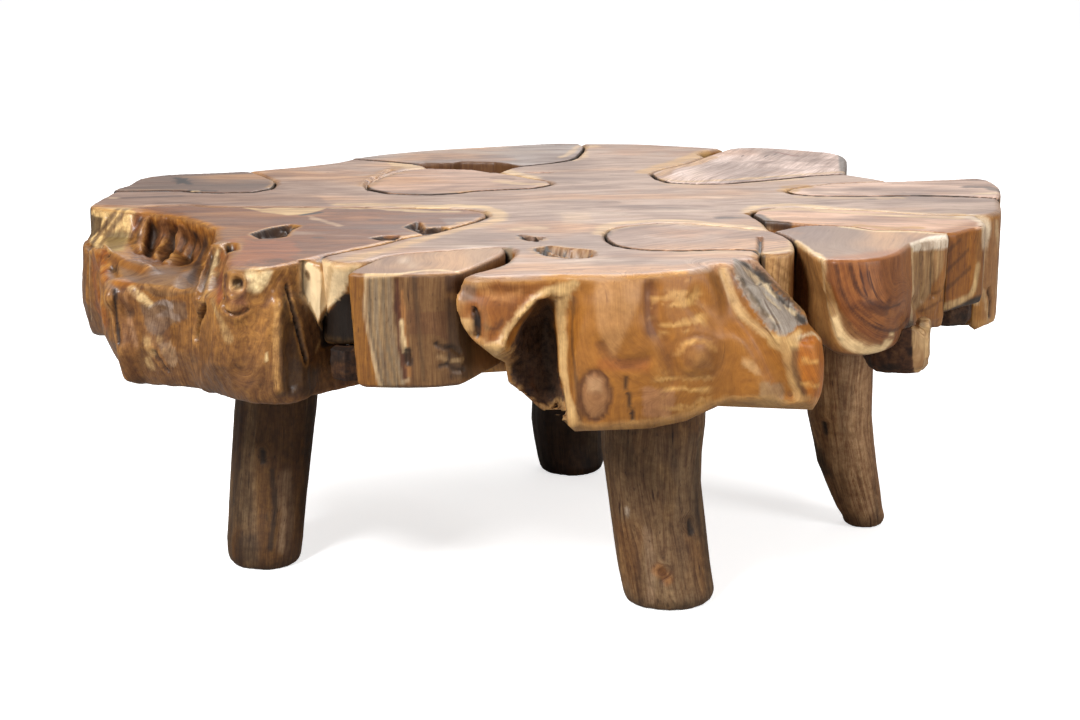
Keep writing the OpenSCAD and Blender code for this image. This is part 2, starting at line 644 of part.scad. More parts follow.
module screw(thick) {
    cylinder(d = screw_head_d, h = screw_head_t, $fn = round_fn);
    cylinder(d = screw_d, h = thick - screw_sink + block_fit + screw_bite, $fn = round_fn);
}

module block_screws() {
    color("#8e8f92") {
        at_screws(right_under_screws, right_under_top - block_fit - under_block_t + screw_sink)
            screw(under_block_t);
        at_screws(end_under_screws, end_under_top - block_fit - end_block_t + screw_sink)
            screw(end_block_t);
        at_screws(gap_under_screws, gap_under_top - gap_block_t + screw_sink)
            screw(gap_block_t);
    }
}

root_slab();
left_front_root();
front_left_block();
left_back_infill();
lobe_infill();
back_infill();
back_right_infill();
right_back_infill();
right_strip_infill();
right_block();
front_lens_infill();
right_under_block();
right_end_under_block();
left_under_block();
leg_front();
leg_left();
leg_right();
leg_back();
seam_dowels();
leg_studs();
leg_inserts();
block_screws();
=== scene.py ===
# %% [markdown]
# # A teak root coffee table
# The table is a patchwork of slices of teak root on four short branches. Every slice was packed as a CAD
# solid, which fixes its size and place. This file makes what the solids leave out: the eroded edges, the
# knots and cracks, and the wood itself. It starts by loading the solids and keeping their box.

import bpy
import math
import numpy as np
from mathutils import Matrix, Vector
from mathutils.bvhtree import BVHTree


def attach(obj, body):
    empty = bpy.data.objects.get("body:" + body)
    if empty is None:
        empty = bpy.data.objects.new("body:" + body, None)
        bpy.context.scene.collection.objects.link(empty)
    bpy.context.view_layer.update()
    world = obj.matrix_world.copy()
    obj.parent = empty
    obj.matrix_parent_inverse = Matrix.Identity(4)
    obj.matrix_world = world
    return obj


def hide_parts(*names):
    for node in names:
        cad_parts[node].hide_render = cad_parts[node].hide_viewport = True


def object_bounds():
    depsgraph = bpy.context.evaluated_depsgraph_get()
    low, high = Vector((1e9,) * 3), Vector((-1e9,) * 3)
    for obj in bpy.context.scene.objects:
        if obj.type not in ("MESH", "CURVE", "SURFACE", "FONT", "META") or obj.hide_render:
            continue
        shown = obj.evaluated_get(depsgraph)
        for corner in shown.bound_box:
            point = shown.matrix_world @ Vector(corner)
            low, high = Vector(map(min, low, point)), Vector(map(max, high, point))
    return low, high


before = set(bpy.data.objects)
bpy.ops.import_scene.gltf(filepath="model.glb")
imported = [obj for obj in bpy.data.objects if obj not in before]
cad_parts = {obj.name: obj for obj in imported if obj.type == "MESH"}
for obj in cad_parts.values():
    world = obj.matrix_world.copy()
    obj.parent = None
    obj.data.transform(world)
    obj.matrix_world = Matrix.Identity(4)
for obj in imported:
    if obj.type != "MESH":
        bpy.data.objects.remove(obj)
cad_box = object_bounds()
MM = 0.001
scene = bpy.context.scene
bpy.ops.object.select_all(action="DESELECT")
print("solids:", len(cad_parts), "box:", [round(v, 3) for v in cad_box[1] - cad_box[0]])

# %% [markdown]
# The camera stands where the photographer's did: a little above the top, far enough back for a calm
# perspective, tilted down. Marks that the photograph shows are placed through this camera further on: a
# pixel gives a ray, and the ray meets the wood.

# %% Camera
PHOTO = (1080, 720)
FOCAL_PX = 2150
CAMERA_AT = (-17.9, -2778.6, 916.7)
TILT_DOWN = math.radians(14)
SENSOR = 36

camera_data = bpy.data.cameras.new("camera")
camera_data.sensor_width = SENSOR
camera_data.lens = FOCAL_PX * SENSOR / PHOTO[0]
camera = bpy.data.objects.new("camera", camera_data)
scene.collection.objects.link(camera)
camera.location = [v * MM for v in CAMERA_AT]
camera.rotation_euler = (math.pi / 2 - TILT_DOWN, 0, 0)
scene.camera = camera
scene.view_settings.view_transform = "Standard"
print("lens", round(camera_data.lens, 1), "mm")


# %% [markdown]
# The studio is a white floor under a dim even sky, between two broad lamps, the left one stronger, with a
# third lamp high behind the table that skims its top. A learner could light the table with lamps alone, but
# a flat varnished top only gleams when it sees something bright. So the varnish sees a bright sheet behind
# the table and little light from the camera's side: the top gleams pale while the sides keep their colour.

# %% A helper for shader nodes, and one for colours
def add_node(tree, kind, links=None, **settings):
    """Adds a node. Settings are its properties or its inputs' values; links are its inputs' sources."""
    node = tree.nodes.new(kind)
    for key, value in settings.items():
        if hasattr(node, key):
            setattr(node, key, value)
        else:
            node.inputs[key.replace("_", " ")].default_value = value
    for key, source in (links or {}).items():
        tree.links.new(source, node.inputs[key])
    return node


def from_hex(code):
    """A written sRGB colour as the linear colour that a shader takes."""
    parts = [int(code[i:i + 2], 16) / 255 for i in (1, 3, 5)]
    linear = [p / 12.92 if p <= 0.04045 else ((p + 0.055) / 1.055) ** 2.4 for p in parts]
    return (*linear, 1)


print("teak brown in linear light:", [round(part, 3) for part in from_hex("#AC6F26")[:3]])

# %% Sky
SKY_LIGHT = 0.3
SHEET_LIGHT = 0.75
ROOM_LIGHT = 0.12
# Where the sheet begins and is full, by the Y of a direction, and where its dimmer left side ends, by its X
SHEET_EDGE = (0.2, 0.75)
LEFT_EDGE = (-0.32, 0.02)
LEFT_SHARE = 0.4

world = bpy.data.worlds.new("studio")
scene.world = world
world.use_nodes = True
sky = world.node_tree
sky.nodes.clear()
rays = add_node(sky, "ShaderNodeLightPath")
way = add_node(sky, "ShaderNodeSeparateXYZ",
               {"Vector": add_node(sky, "ShaderNodeTexCoord").outputs["Generated"]})
behind = add_node(sky, "ShaderNodeMapRange", {"Value": way.outputs["Y"]},
                  From_Min=SHEET_EDGE[0], From_Max=SHEET_EDGE[1], To_Min=ROOM_LIGHT, To_Max=SHEET_LIGHT)
from_left = add_node(sky, "ShaderNodeMapRange", {"Value": way.outputs["X"]},
                     From_Min=LEFT_EDGE[0], From_Max=LEFT_EDGE[1], To_Min=LEFT_SHARE, To_Max=1)
sheen = add_node(sky, "ShaderNodeMath", {0: behind.outputs[0], 1: from_left.outputs[0]}, operation="MULTIPLY")
dim = add_node(sky, "ShaderNodeBackground", Color=(1, 1, 1, 1), Strength=SKY_LIGHT)
sheet = add_node(sky, "ShaderNodeBackground", {"Strength": sheen.outputs[0]}, Color=(1, 1, 1, 1))
white = add_node(sky, "ShaderNodeBackground", Color=(1, 1, 1, 1), Strength=1)
felt = add_node(sky, "ShaderNodeMixShader", {0: rays.outputs["Is Glossy Ray"], 1: dim.outputs[0],
                                             2: sheet.outputs[0]})
both = add_node(sky, "ShaderNodeMixShader", {0: rays.outputs["Is Camera Ray"], 1: felt.outputs[0],
                                             2: white.outputs[0]})
add_node(sky, "ShaderNodeOutputWorld", {"Surface": both.outputs[0]})
print("the sky has", len(sky.nodes), "nodes")


# %% Lamps
def lamp(name, at, aim, size, watts):
    """A square area lamp, looking from one place to another, in metres."""
    data = bpy.data.lights.new(name, "AREA")
    data.size = size
    data.energy = watts
    made = bpy.data.objects.new(name, data)
    scene.collection.objects.link(made)
    made.location = at
    made.rotation_euler = (Vector(aim) - Vector(at)).to_track_quat("-Z", "Y").to_euler()
    return made


lamp("left lamp", (-1.9, -2.9, 3.0), (0, -0.1, 0.3), 1.1, 200)
lamp("right lamp", (3.0, -2.3, 1.8), (0, 0, 0.3), 1.4, 60)
lamp("top lamp", (0.3, 2.0, 2.6), (0, 0.1, 0.4), 1.6, 50)
print(len(bpy.data.lights), "lamps are lit")

# %% [markdown]
# The floor is painted white and matt. The camera sees it nearly as bright as the sky, so that only the
# table's shadow shows. The light that it sends back up under the table is that of a grey floor, which keeps
# the underside and the legs as dark as they are in a real room.

# %% Floor
FLOOR_SIZE = 24
FLOOR_GLOW = 0.68

bpy.ops.mesh.primitive_plane_add(size=FLOOR_SIZE, location=(0, 0, 0))
floor = bpy.context.active_object
floor.name = "floor"
floor_paint = bpy.data.materials.new("white painted studio floor")
floor_paint.use_nodes = True
floor_tree = floor_paint.node_tree
floor_tree.nodes.clear()
rays = add_node(floor_tree, "ShaderNodeLightPath")
lit = add_node(floor_tree, "ShaderNodeBsdfDiffuse", Color=from_hex("#FFFFFF"))
glow = add_node(floor_tree, "ShaderNodeEmission", Color=(1, 1, 1, 1), Strength=FLOOR_GLOW)
bright = add_node(floor_tree, "ShaderNodeAddShader", {0: lit.outputs[0], 1: glow.outputs[0]})
grey = add_node(floor_tree, "ShaderNodeBsdfDiffuse", Color=from_hex("#A8A5A0"))
both = add_node(floor_tree, "ShaderNodeMixShader", {0: rays.outputs["Is Camera Ray"], 1: grey.outputs[0],
                                                    2: bright.outputs[0]})
add_node(floor_tree, "ShaderNodeOutputMaterial", {"Surface": both.outputs[0]})
floor.data.materials.append(floor_paint)
floor.select_set(False)
print("the floor is", FLOOR_SIZE, "m across")

# %% [markdown]
# Carved wood has no straight edges to extrude, so it isn't built from primitives. Each solid is copied, its
# loose triangles are merged, and a voxel remesh gives it an even skin of small faces. After that it is
# worked as on a bench: marks are seen through the camera, the ray through each mark meets the wood, and the
# wood near the marks is pushed in, pulled out or stained. Distances along the wood are in millimetres.

# %% From the photograph to the wood
TOP = cad_box[1].z / MM


def seen_at(points):
    """Where points in millimetres show in the photograph, in its pixels."""
    away = np.asarray(points, float) - CAMERA_AT
    deep = away[..., 1] * math.cos(TILT_DOWN) - away[..., 2] * math.sin(TILT_DOWN)
    high = away[..., 1] * math.sin(TILT_DOWN) + away[..., 2] * math.cos(TILT_DOWN)
    return np.stack([PHOTO[0] / 2 + FOCAL_PX * away[..., 0] / deep,
                     PHOTO[1] / 2 - FOCAL_PX * high / deep], axis=-1)


def ray_through(pixel):
    """The direction of the camera's ray through a pixel of the photograph."""
    side, up = pixel[0] - PHOTO[0] / 2, PHOTO[1] / 2 - pixel[1]
    forward = (0, math.cos(TILT_DOWN), -math.sin(TILT_DOWN))
    upward = (0, math.sin(TILT_DOWN), math.cos(TILT_DOWN))
    way = [side, up * upward[1] + FOCAL_PX * forward[1], up * upward[2] + FOCAL_PX * forward[2]]
    return Vector(way).normalized()


print("the middle of the top shows at pixel", seen_at((0, 0, TOP)).round(1))


# %% Lines and soft edges
def smooth_line(marks, spacing):
    """A smooth curve through marks, as points about one spacing apart."""
    marks = [np.asarray(m, float) for m in marks]
    ends = [2 * marks[0] - marks[1], *marks, 2 * marks[-1] - marks[-2]]
    line = []
    for a, b, c, d in zip(ends, ends[1:], ends[2:], ends[3:]):
        count = max(1, round(np.linalg.norm(c - b) / spacing))
        for u in np.arange(count) / count:
            line.append(0.5 * (2 * b + (c - a) * u + (2 * a - 5 * b + 4 * c - d) * u ** 2
                               + (3 * b - a - 3 * c + d) * u ** 3))
    return np.array([*line, marks[-1]])


def gap_to(points, line):
    """The distance from each point to a line through other points, in two or three dimensions."""
    if len(line) == 1:
        return np.linalg.norm(points - line[0], axis=1)
    nearest = np.full(len(points), np.inf)
    for a, b in zip(line, line[1:]):
        span = b - a
        along = np.clip((points - a) @ span / max(span @ span, 1e-9), 0, 1)
        nearest = np.minimum(nearest, np.linalg.norm(points - a - along[:, None] * span, axis=1))
    return nearest


def fade(value, start, end):
    """1 where the value is at start, 0 where it is at end, and smooth between."""
    t = np.clip((value - end) / (start - end), 0, 1)
    return t * t * (3 - 2 * t)


print("halfway down a soft edge the weight is", fade(0.5, 0, 1))

# %% [markdown]
# Wood is never even. Noise with a fixed seed gives the same cloudy stains and the same rough skin each time
# the script runs. Blender's own noise could be read point by point, but one lattice of numbers for all
# points at once is much quicker on pieces of a hundred thousand points.

# %% Seeded noise
GRID = 48
SEED = 11
LATTICE = np.random.default_rng(SEED).uniform(-1, 1, (GRID, GRID, GRID))
# The lattice is read from this cell on, and each shift reads it from another place
FIRST_CELL = 100
SHIFT_STEP = 7.31


def noise(points, size, shift=0):
    """Smooth noise from -1 to 1 whose lumps are about one size across. Size may differ along x, y and z."""
    place = points / np.asarray(size, float) + shift * SHIFT_STEP + FIRST_CELL
    cell = np.floor(place).astype(int)
    part = place - cell
    part = part * part * (3 - 2 * part)
    total = 0
    for dx in (0, 1):
        for dy in (0, 1):
            for dz in (0, 1):
                weight = abs(1 - dx - part[:, 0]) * abs(1 - dy - part[:, 1]) * abs(1 - dz - part[:, 2])
                total = total + weight * LATTICE[(cell[:, 0] + dx) % GRID, (cell[:, 1] + dy) % GRID,
                                                 (cell[:, 2] + dz) % GRID]
    return total


def rough_noise(points, size, shift=0):
    """Three layers of noise, each half the size and strength of the one before."""
    return (noise(points, size, shift) + 0.5 * noise(points, np.asarray(size) / 2, shift + 1)
            + 0.25 * noise(points, np.asarray(size) / 4, shift + 2)) / 1.75


print("the noise repeats after", GRID, "lumps")

# %% [markdown]
# A craftsman roughs a piece out before carving it. Here the rough piece is a copy of the CAD solid, so its
# size and place are right from the start. A fine remesh of every side would be too heavy, so the largest
# piece has its hidden underside thinned.

# %% Roughing out a piece
FIXINGS = ("seam_dowels", "leg_studs", "leg_inserts", "block_screws")
FACING_DOWN = -0.5


def only(piece):
    """Makes a piece the only one selected, and the active one."""
    bpy.ops.object.select_all(action="DESELECT")
    piece.select_set(True)
    bpy.context.view_layer.objects.active = piece


def use_modifier(piece, kind, **settings):
    """Adds a modifier and applies it."""
    only(piece)
    modifier = piece.modifiers.new(kind.lower(), kind)
    for key, value in settings.items():
        setattr(modifier, key, value)
    bpy.ops.object.modifier_apply(modifier=modifier.name)


def rough_out(node, name, voxel):
    """A merged copy of a solid with an even skin of faces, one voxel across, in millimetres."""
    piece = bpy.data.objects.new(name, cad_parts[node].data.copy())
    scene.collection.objects.link(piece)
    piece.data.materials.clear()
    only(piece)
    bpy.ops.object.mode_set(mode="EDIT")
    bpy.ops.mesh.select_all(action="SELECT")
    bpy.ops.mesh.remove_doubles(threshold=0.01 * MM)
    bpy.ops.object.mode_set(mode="OBJECT")
    use_modifier(piece, "REMESH", mode="VOXEL", voxel_size=voxel * MM, use_smooth_shade=True)
    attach(piece, "root")
    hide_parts(node)
    return piece


def thin_underside(piece, share):
    """Takes away faces under a piece, down to no less than a share of all its faces."""
    mesh = piece.data
    out = np.empty(len(mesh.vertices) * 3)
    mesh.vertex_normals.foreach_get("vector", out)
    hidden = piece.vertex_groups.new(name="underside")
    hidden.add([int(i) for i in np.flatnonzero(out.reshape(-1, 3)[:, 2] < FACING_DOWN)], 1, "REPLACE")
    use_modifier(piece, "DECIMATE", ratio=share, vertex_group="underside")
    piece.vertex_groups.clear()


print(len(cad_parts) - len(FIXINGS), "solids are wood to be carved")

# %% [markdown]
# On the bench a piece is a set of lists: where each point is, where it faces and where it shows in the
# photograph. Moves, stain and figure are gathered in lists too and given to the mesh once, which is quicker
# and easier to undo than moving vertices one by one.

# %% A piece of wood on the bench
class Bench:
    """A piece held still to be worked on: where its points are and face, and what is done to each of them."""

    def __init__(self, piece):
        self.piece = piece
        mesh = piece.data
        count = len(mesh.vertices)
        self.at = np.empty(count * 3)
        mesh.vertices.foreach_get("co", self.at)
        self.at = self.at.reshape(-1, 3) / MM
        self.out = np.empty(count * 3)
        mesh.vertex_normals.foreach_get("vector", self.out)
        self.out = self.out.reshape(-1, 3)
        self.seen = seen_at(self.at)
        view = self.at - CAMERA_AT
        self.facing = -np.sum(view * self.out, axis=1) / np.linalg.norm(view, axis=1)
        self.tree = BVHTree.FromObject(piece, bpy.context.evaluated_depsgraph_get())
        self.move = np.zeros_like(self.at)
        self.stain = np.zeros_like(self.at)
        self.figure = np.zeros(count)
        self.grain = np.ones(count)
        self.matt = np.zeros(count)
        self.rough = np.zeros(count)
        self.up = np.zeros(count)
        self.seam = np.zeros(count)
        self.pits = []


def new_places(bench):
    """Where the points of a piece have moved to, in metres, kept inside the box of the solids."""
    low, high = (np.array(corner) / MM for corner in cad_box)
    return (np.clip(bench.at + bench.move, low, high) * MM).ravel()


def new_skin(bench, voxel, share=1):
    """Moves the points and gives the piece a fresh even skin, then takes it up again."""
    bench.piece.data.vertices.foreach_set("co", new_places(bench))
    bench.piece.data.update()
    use_modifier(bench.piece, "REMESH", mode="VOXEL", voxel_size=voxel * MM, use_smooth_shade=True)
    if share < 1:
        thin_underside(bench.piece, share)
    return Bench(bench.piece)


def put_down(bench):
    """Moves the points and stores the stain, the figure, the grain and the roughness on the piece."""
    mesh = bench.piece.data
    mesh.vertices.foreach_set("co", new_places(bench))
    mesh.update()
    colour = mesh.attributes.new("stain", "FLOAT_COLOR", "POINT")
    colour.data.foreach_set("color", np.c_[bench.stain, np.ones(len(bench.stain))].ravel())
    for name, values in (("figure", bench.figure), ("grain", bench.grain), ("roughness", bench.rough)):
        mesh.attributes.new(name, "FLOAT", "POINT").data.foreach_set("value", values)
    mesh.polygons.foreach_set("use_smooth", np.ones(len(mesh.polygons), bool))


print("the bench keeps a piece inside", [round(side / MM) for side in cad_box[1] - cad_box[0]], "mm")

# %% [markdown]
# A mark is a place in the photograph. The camera's ray through it meets the wood at one point, and a line of
# marks becomes a line along the wood. An outline of marks works like a stencil held up before the camera: it
# takes in what shows inside it, on the side that the camera sees. A decal or a projected picture would do the
# same, but would carry pixels of the photograph into the piece.

# %% Finding marks on the wood
MARK_SPACING = 6
FAR_OFF = 1000.0
# How squarely a face has to look at the camera to be marked wholly, and not at all
SEEN_SIDE = (0.12, 0.02)


def on_wood(bench, marks):
    """Marks seen in the photograph, as a smooth line of points on a piece, in millimetres."""
    line = smooth_line(marks, MARK_SPACING) if len(marks) > 1 else np.asarray(marks, float)
    start = Vector(CAMERA_AT) * MM
    found = []
    distance = np.linalg.norm(bench.at.mean(0) - CAMERA_AT) * MM
    for pixel in line:
        way = ray_through(pixel)
        hit, _, _, far = bench.tree.ray_cast(start, way)
        if hit is None:
            to_top = (TOP * MM - start.z) / way.z
            tries = [bench.tree.find_nearest(start + way * reach) for reach in (to_top, distance)]
            hit = min(tries, key=lambda spot: spot[3])[0]
        else:
            distance = far
        found.append(np.array(hit) / MM)
    return np.array(found)


def near(bench, marks, reach=90):
    """The distance from a line of marks on the wood, in millimetres, or a far one beyond the reach."""
    line = on_wood(bench, marks)
    close = np.all((bench.at > line.min(0) - reach) & (bench.at < line.max(0) + reach), axis=1)
    gap = np.full(len(bench.at), FAR_OFF)
    gap[close] = gap_to(bench.at[close], line)
    return gap


def within(bench, marks, soft, all_sides=False):
    """1 inside an outline of marks, 0 outside, with an edge so many pixels soft. It holds on the seen side
    only, unless all sides are asked for."""
    outline = np.asarray([*marks, marks[0]], float)
    x, y = bench.seen[:, 0], bench.seen[:, 1]
    inside = np.zeros(len(x), bool)
    for (x0, y0), (x1, y1) in zip(outline, outline[1:]):
        crosses = (y0 > y) != (y1 > y)
        inside ^= crosses & (x < (x1 - x0) * (y - y0) / (y1 - y0 + 1e-9) + x0)
    edge = gap_to(bench.seen, outline) * np.where(inside, 1, -1)
    inner = fade(edge, soft / 2, -soft / 2)
    return inner if all_sides else inner * fade(bench.facing, *SEEN_SIDE)


print("a mark beyond its reach counts as", FAR_OFF, "mm away")

# %% Carving
# Size of the noise along a ragged line, in millimetres
RAGGED_LINE = 14


def push(bench, marks, width, depth, ragged=0, way=None):
    """Pushes the wood in along a line of marks, or pulls it out where the depth is negative."""
    gap = near(bench, marks) + ragged * noise(bench.at, RAGGED_LINE)
    weight = fade(gap, 0, width)
    if way is None:
        way = -np.average(bench.out, axis=0, weights=weight + 1e-9)
        way = way / np.linalg.norm(way)
    bench.move += weight[:, None] * depth * np.asarray(way, float)


def hollow(bench, marks, soft, way):
    """Moves the wood inside an outline of marks along a way, in millimetres."""
    bench.move += within(bench, marks, soft)[:, None] * np.asarray(way, float)


def carve(bench, hollows=None, grooves=None):
    """Works named hollows (softness, way, outline) and named grooves (width, depth, marks) into the wood."""
    for soft, way, marks in (hollows or {}).values():
        hollow(bench, marks, soft, way)
    for width, depth, marks, *ragged in (grooves or {}).values():
        push(bench, marks, width, depth, *ragged)


print("a ragged groove has waves", RAGGED_LINE, "mm long")

# %% Pits
# Size of the noise down a ragged wall, in millimetres
RAGGED_WALL = 7
# A pit is matt and dark by these weights, and its points pass nearly all of that on to their neighbours
PIT_EDGE = (0.35, 0.1)
PASSED_ON = 0.999


def edge_ends(bench):
    """The two ends of every edge, as two lists of point numbers."""
    pairs = np.empty(len(bench.piece.data.edges) * 2, int)
    bench.piece.data.edges.foreach_get("vertices", pairs)
    return pairs.reshape(-1, 2).T


def pit(bench, marks, soft, depth, colour="#2A1A10"):
    """Sinks an opening with ragged walls inside an outline. Below the surface it is matt, and painted in a
    colour that is dark, as painted shade, unless another is given.
    """
    weight = within(bench, marks, soft)
    bench.move[:, 2] -= weight * depth * (1 + 0.5 * noise(bench.at, RAGGED_WALL))
    wall = fade(weight, *PIT_EDGE)
    a, b = edge_ends(bench)
    np.maximum.at(wall, a, PASSED_ON * wall[b])
    bench.pits.append((colour, wall))
    bench.matt = np.maximum(bench.matt, wall)


print("ragged walls have lumps", RAGGED_WALL, "mm across")

# %% Staining
# Sizes of the noise at the edge of a streak and of a field, and the weights between which a ragged field
# begins and ends
STREAK_EDGE = 18
FIELD_EDGE = 20
FIELD_WEIGHTS = (0.65, 0.35)
# A streak is full for this share of its width, and then fades
FULL_SHARE = 0.35


def paint(bench, colour, weight, strength=1):
    """Lays a colour over the stain, as strongly as the weight says."""
    weight = np.clip(weight * strength, 0, 1)[:, None]
    bench.stain = bench.stain * (1 - weight) + np.array(from_hex(colour)[:3]) * weight


def cloud(bench, colour, strength, size, shift, full, none, where=1):
    """Lays on clouds of a colour, full where their noise has one value and gone where it has another."""
    paint(bench, colour, fade(rough_noise(bench.at, size, shift), full, none) * where, strength)


def streak(bench, colour, marks, width, strength, ragged=0.35):
    """A band of colour along a line of marks, with an uneven edge."""
    gap = near(bench, marks) + ragged * width * rough_noise(bench.at, STREAK_EDGE)
    paint(bench, colour, fade(gap, width * FULL_SHARE, width), strength)


def patch(bench, colour, marks, strength, soft, ragged=0):
    """A field of colour inside an outline of marks."""
    weight = within(bench, marks, soft)
    if ragged:
        weight = fade(weight + ragged * rough_noise(bench.at, FIELD_EDGE), *FIELD_WEIGHTS) * (weight > 0)
    paint(bench, colour, weight, strength)


print("the edge of a streak has waves", STREAK_EDGE, "mm long, and that of a field", FIELD_EDGE, "mm")

# %% Painted shade in hollows, painted highlight on ridges
# The depth of a hollow is averaged over its neighbours so many times
SMOOTHING_ROUNDS = 3


def bend(bench):
    """How far each point lies under its neighbours, in millimetres: more than 0 in a hollow."""
    a, b = edge_ends(bench)
    place, count = bench.at + bench.move, len(bench.at)

    def gather(to_a, to_b):
        """The sum of what every edge gives to each of its ends."""
        return np.bincount(a, to_a, count) + np.bincount(b, to_b, count)

    span, ties = place[b] - place[a], gather(np.ones(len(a)), np.ones(len(a)))
    depth = gather(np.sum(span * bench.out[a], axis=1), -np.sum(span * bench.out[b], axis=1)) / ties
    for _ in range(SMOOTHING_ROUNDS):
        depth = (gather(depth[b], depth[a]) + depth) / (ties + 1)
    return depth


def paint_shade_and_highlight(bench, dark, light, strength, least, most):
    """Painted shade in the hollows and painted highlight on the ridges, by how many millimetres deep or high.
    """
    depth = bend(bench)
    paint(bench, dark, fade(depth, most, least), strength)
    paint(bench, light, fade(-depth, most, least), strength)


print("the depth of a hollow is averaged", SMOOTHING_ROUNDS, "times")

# %% [markdown]
# Growth lines on a root run beside each other and bend round a knot. A stripe texture can't know where the
# knots are. So each point keeps a number, its figure, that grows by one for each millimetre across the
# lines. A line is a place of equal figure, and rings round a knot are made by setting the figure to the
# distance from it.

# %% Growth lines
# The share of the reach in which lines follow wholly, and how near the mark its own figure is read
WHOLLY = 0.4
AT_THE_MARK = 8


def follow(bench, marks, reach, strength=1):
    """Bends the growth lines so that within a reach they run beside a line of marks, or round one mark."""
    gap = near(bench, marks, reach + 1)
    weight = fade(gap, reach * WHOLLY, reach) * strength
    here = np.average(bench.figure, weights=fade(gap, 0, AT_THE_MARK) + 1e-9)
    bench.figure = bench.figure * (1 - weight) + (here + gap) * weight


def rings(bench, mark, reach, strength=1):
    """Turns the growth lines into rings round one mark."""
    follow(bench, [mark], reach, strength)


def colour_in(bench, fields=None, streaks=None, knots=None):
    """Lays on named fields (colour, strength, softness, outline) and named streaks (colour, strength, width,
    marks), and turns the growth lines round named knots (reach, strength, mark)."""
    for colour, strength, soft, marks, *ragged in (fields or {}).values():
        patch(bench, colour, marks, strength, soft, *ragged)
    for colour, strength, width, marks, *ragged in (streaks or {}).values():
        streak(bench, colour, marks, width, strength, *ragged)
    for reach, strength, mark in (knots or {}).values():
        rings(bench, mark, reach, strength)


print("growth lines follow wholly within", WHOLLY, "of a reach")

# %% [markdown]
# Teak heartwood is a warm orange brown with darker growth lines, its sapwood is cream, and old weathered
# places turn grey. Sanded and varnished, it is satin with a soft clear coat on top. The stain that is laid
# on the bench gives the broad colours, and the nodes add what is finer: growth lines that follow the
# figure, fine streaks between them, open pores, thin checks, and the small relief of each. One picture of
# wood wrapped round the piece would be quicker, but its lines would ignore the knots.

# %% Sizes in teak
# Each is its width across the growth lines and its length along them, in millimetres, but a mottle is round
BROAD_BAND = (17, 160)
GROWTH_LINE = (3.4, 70)
FINE_STREAK = (1.1, 28)
PORE = (2.4, 10)
CHECK = (5, 60)
MOTTLE = 9
print("growth lines are", GROWTH_LINE[0], "mm apart; pores are drawn", PORE[1], "mm long so that they show")


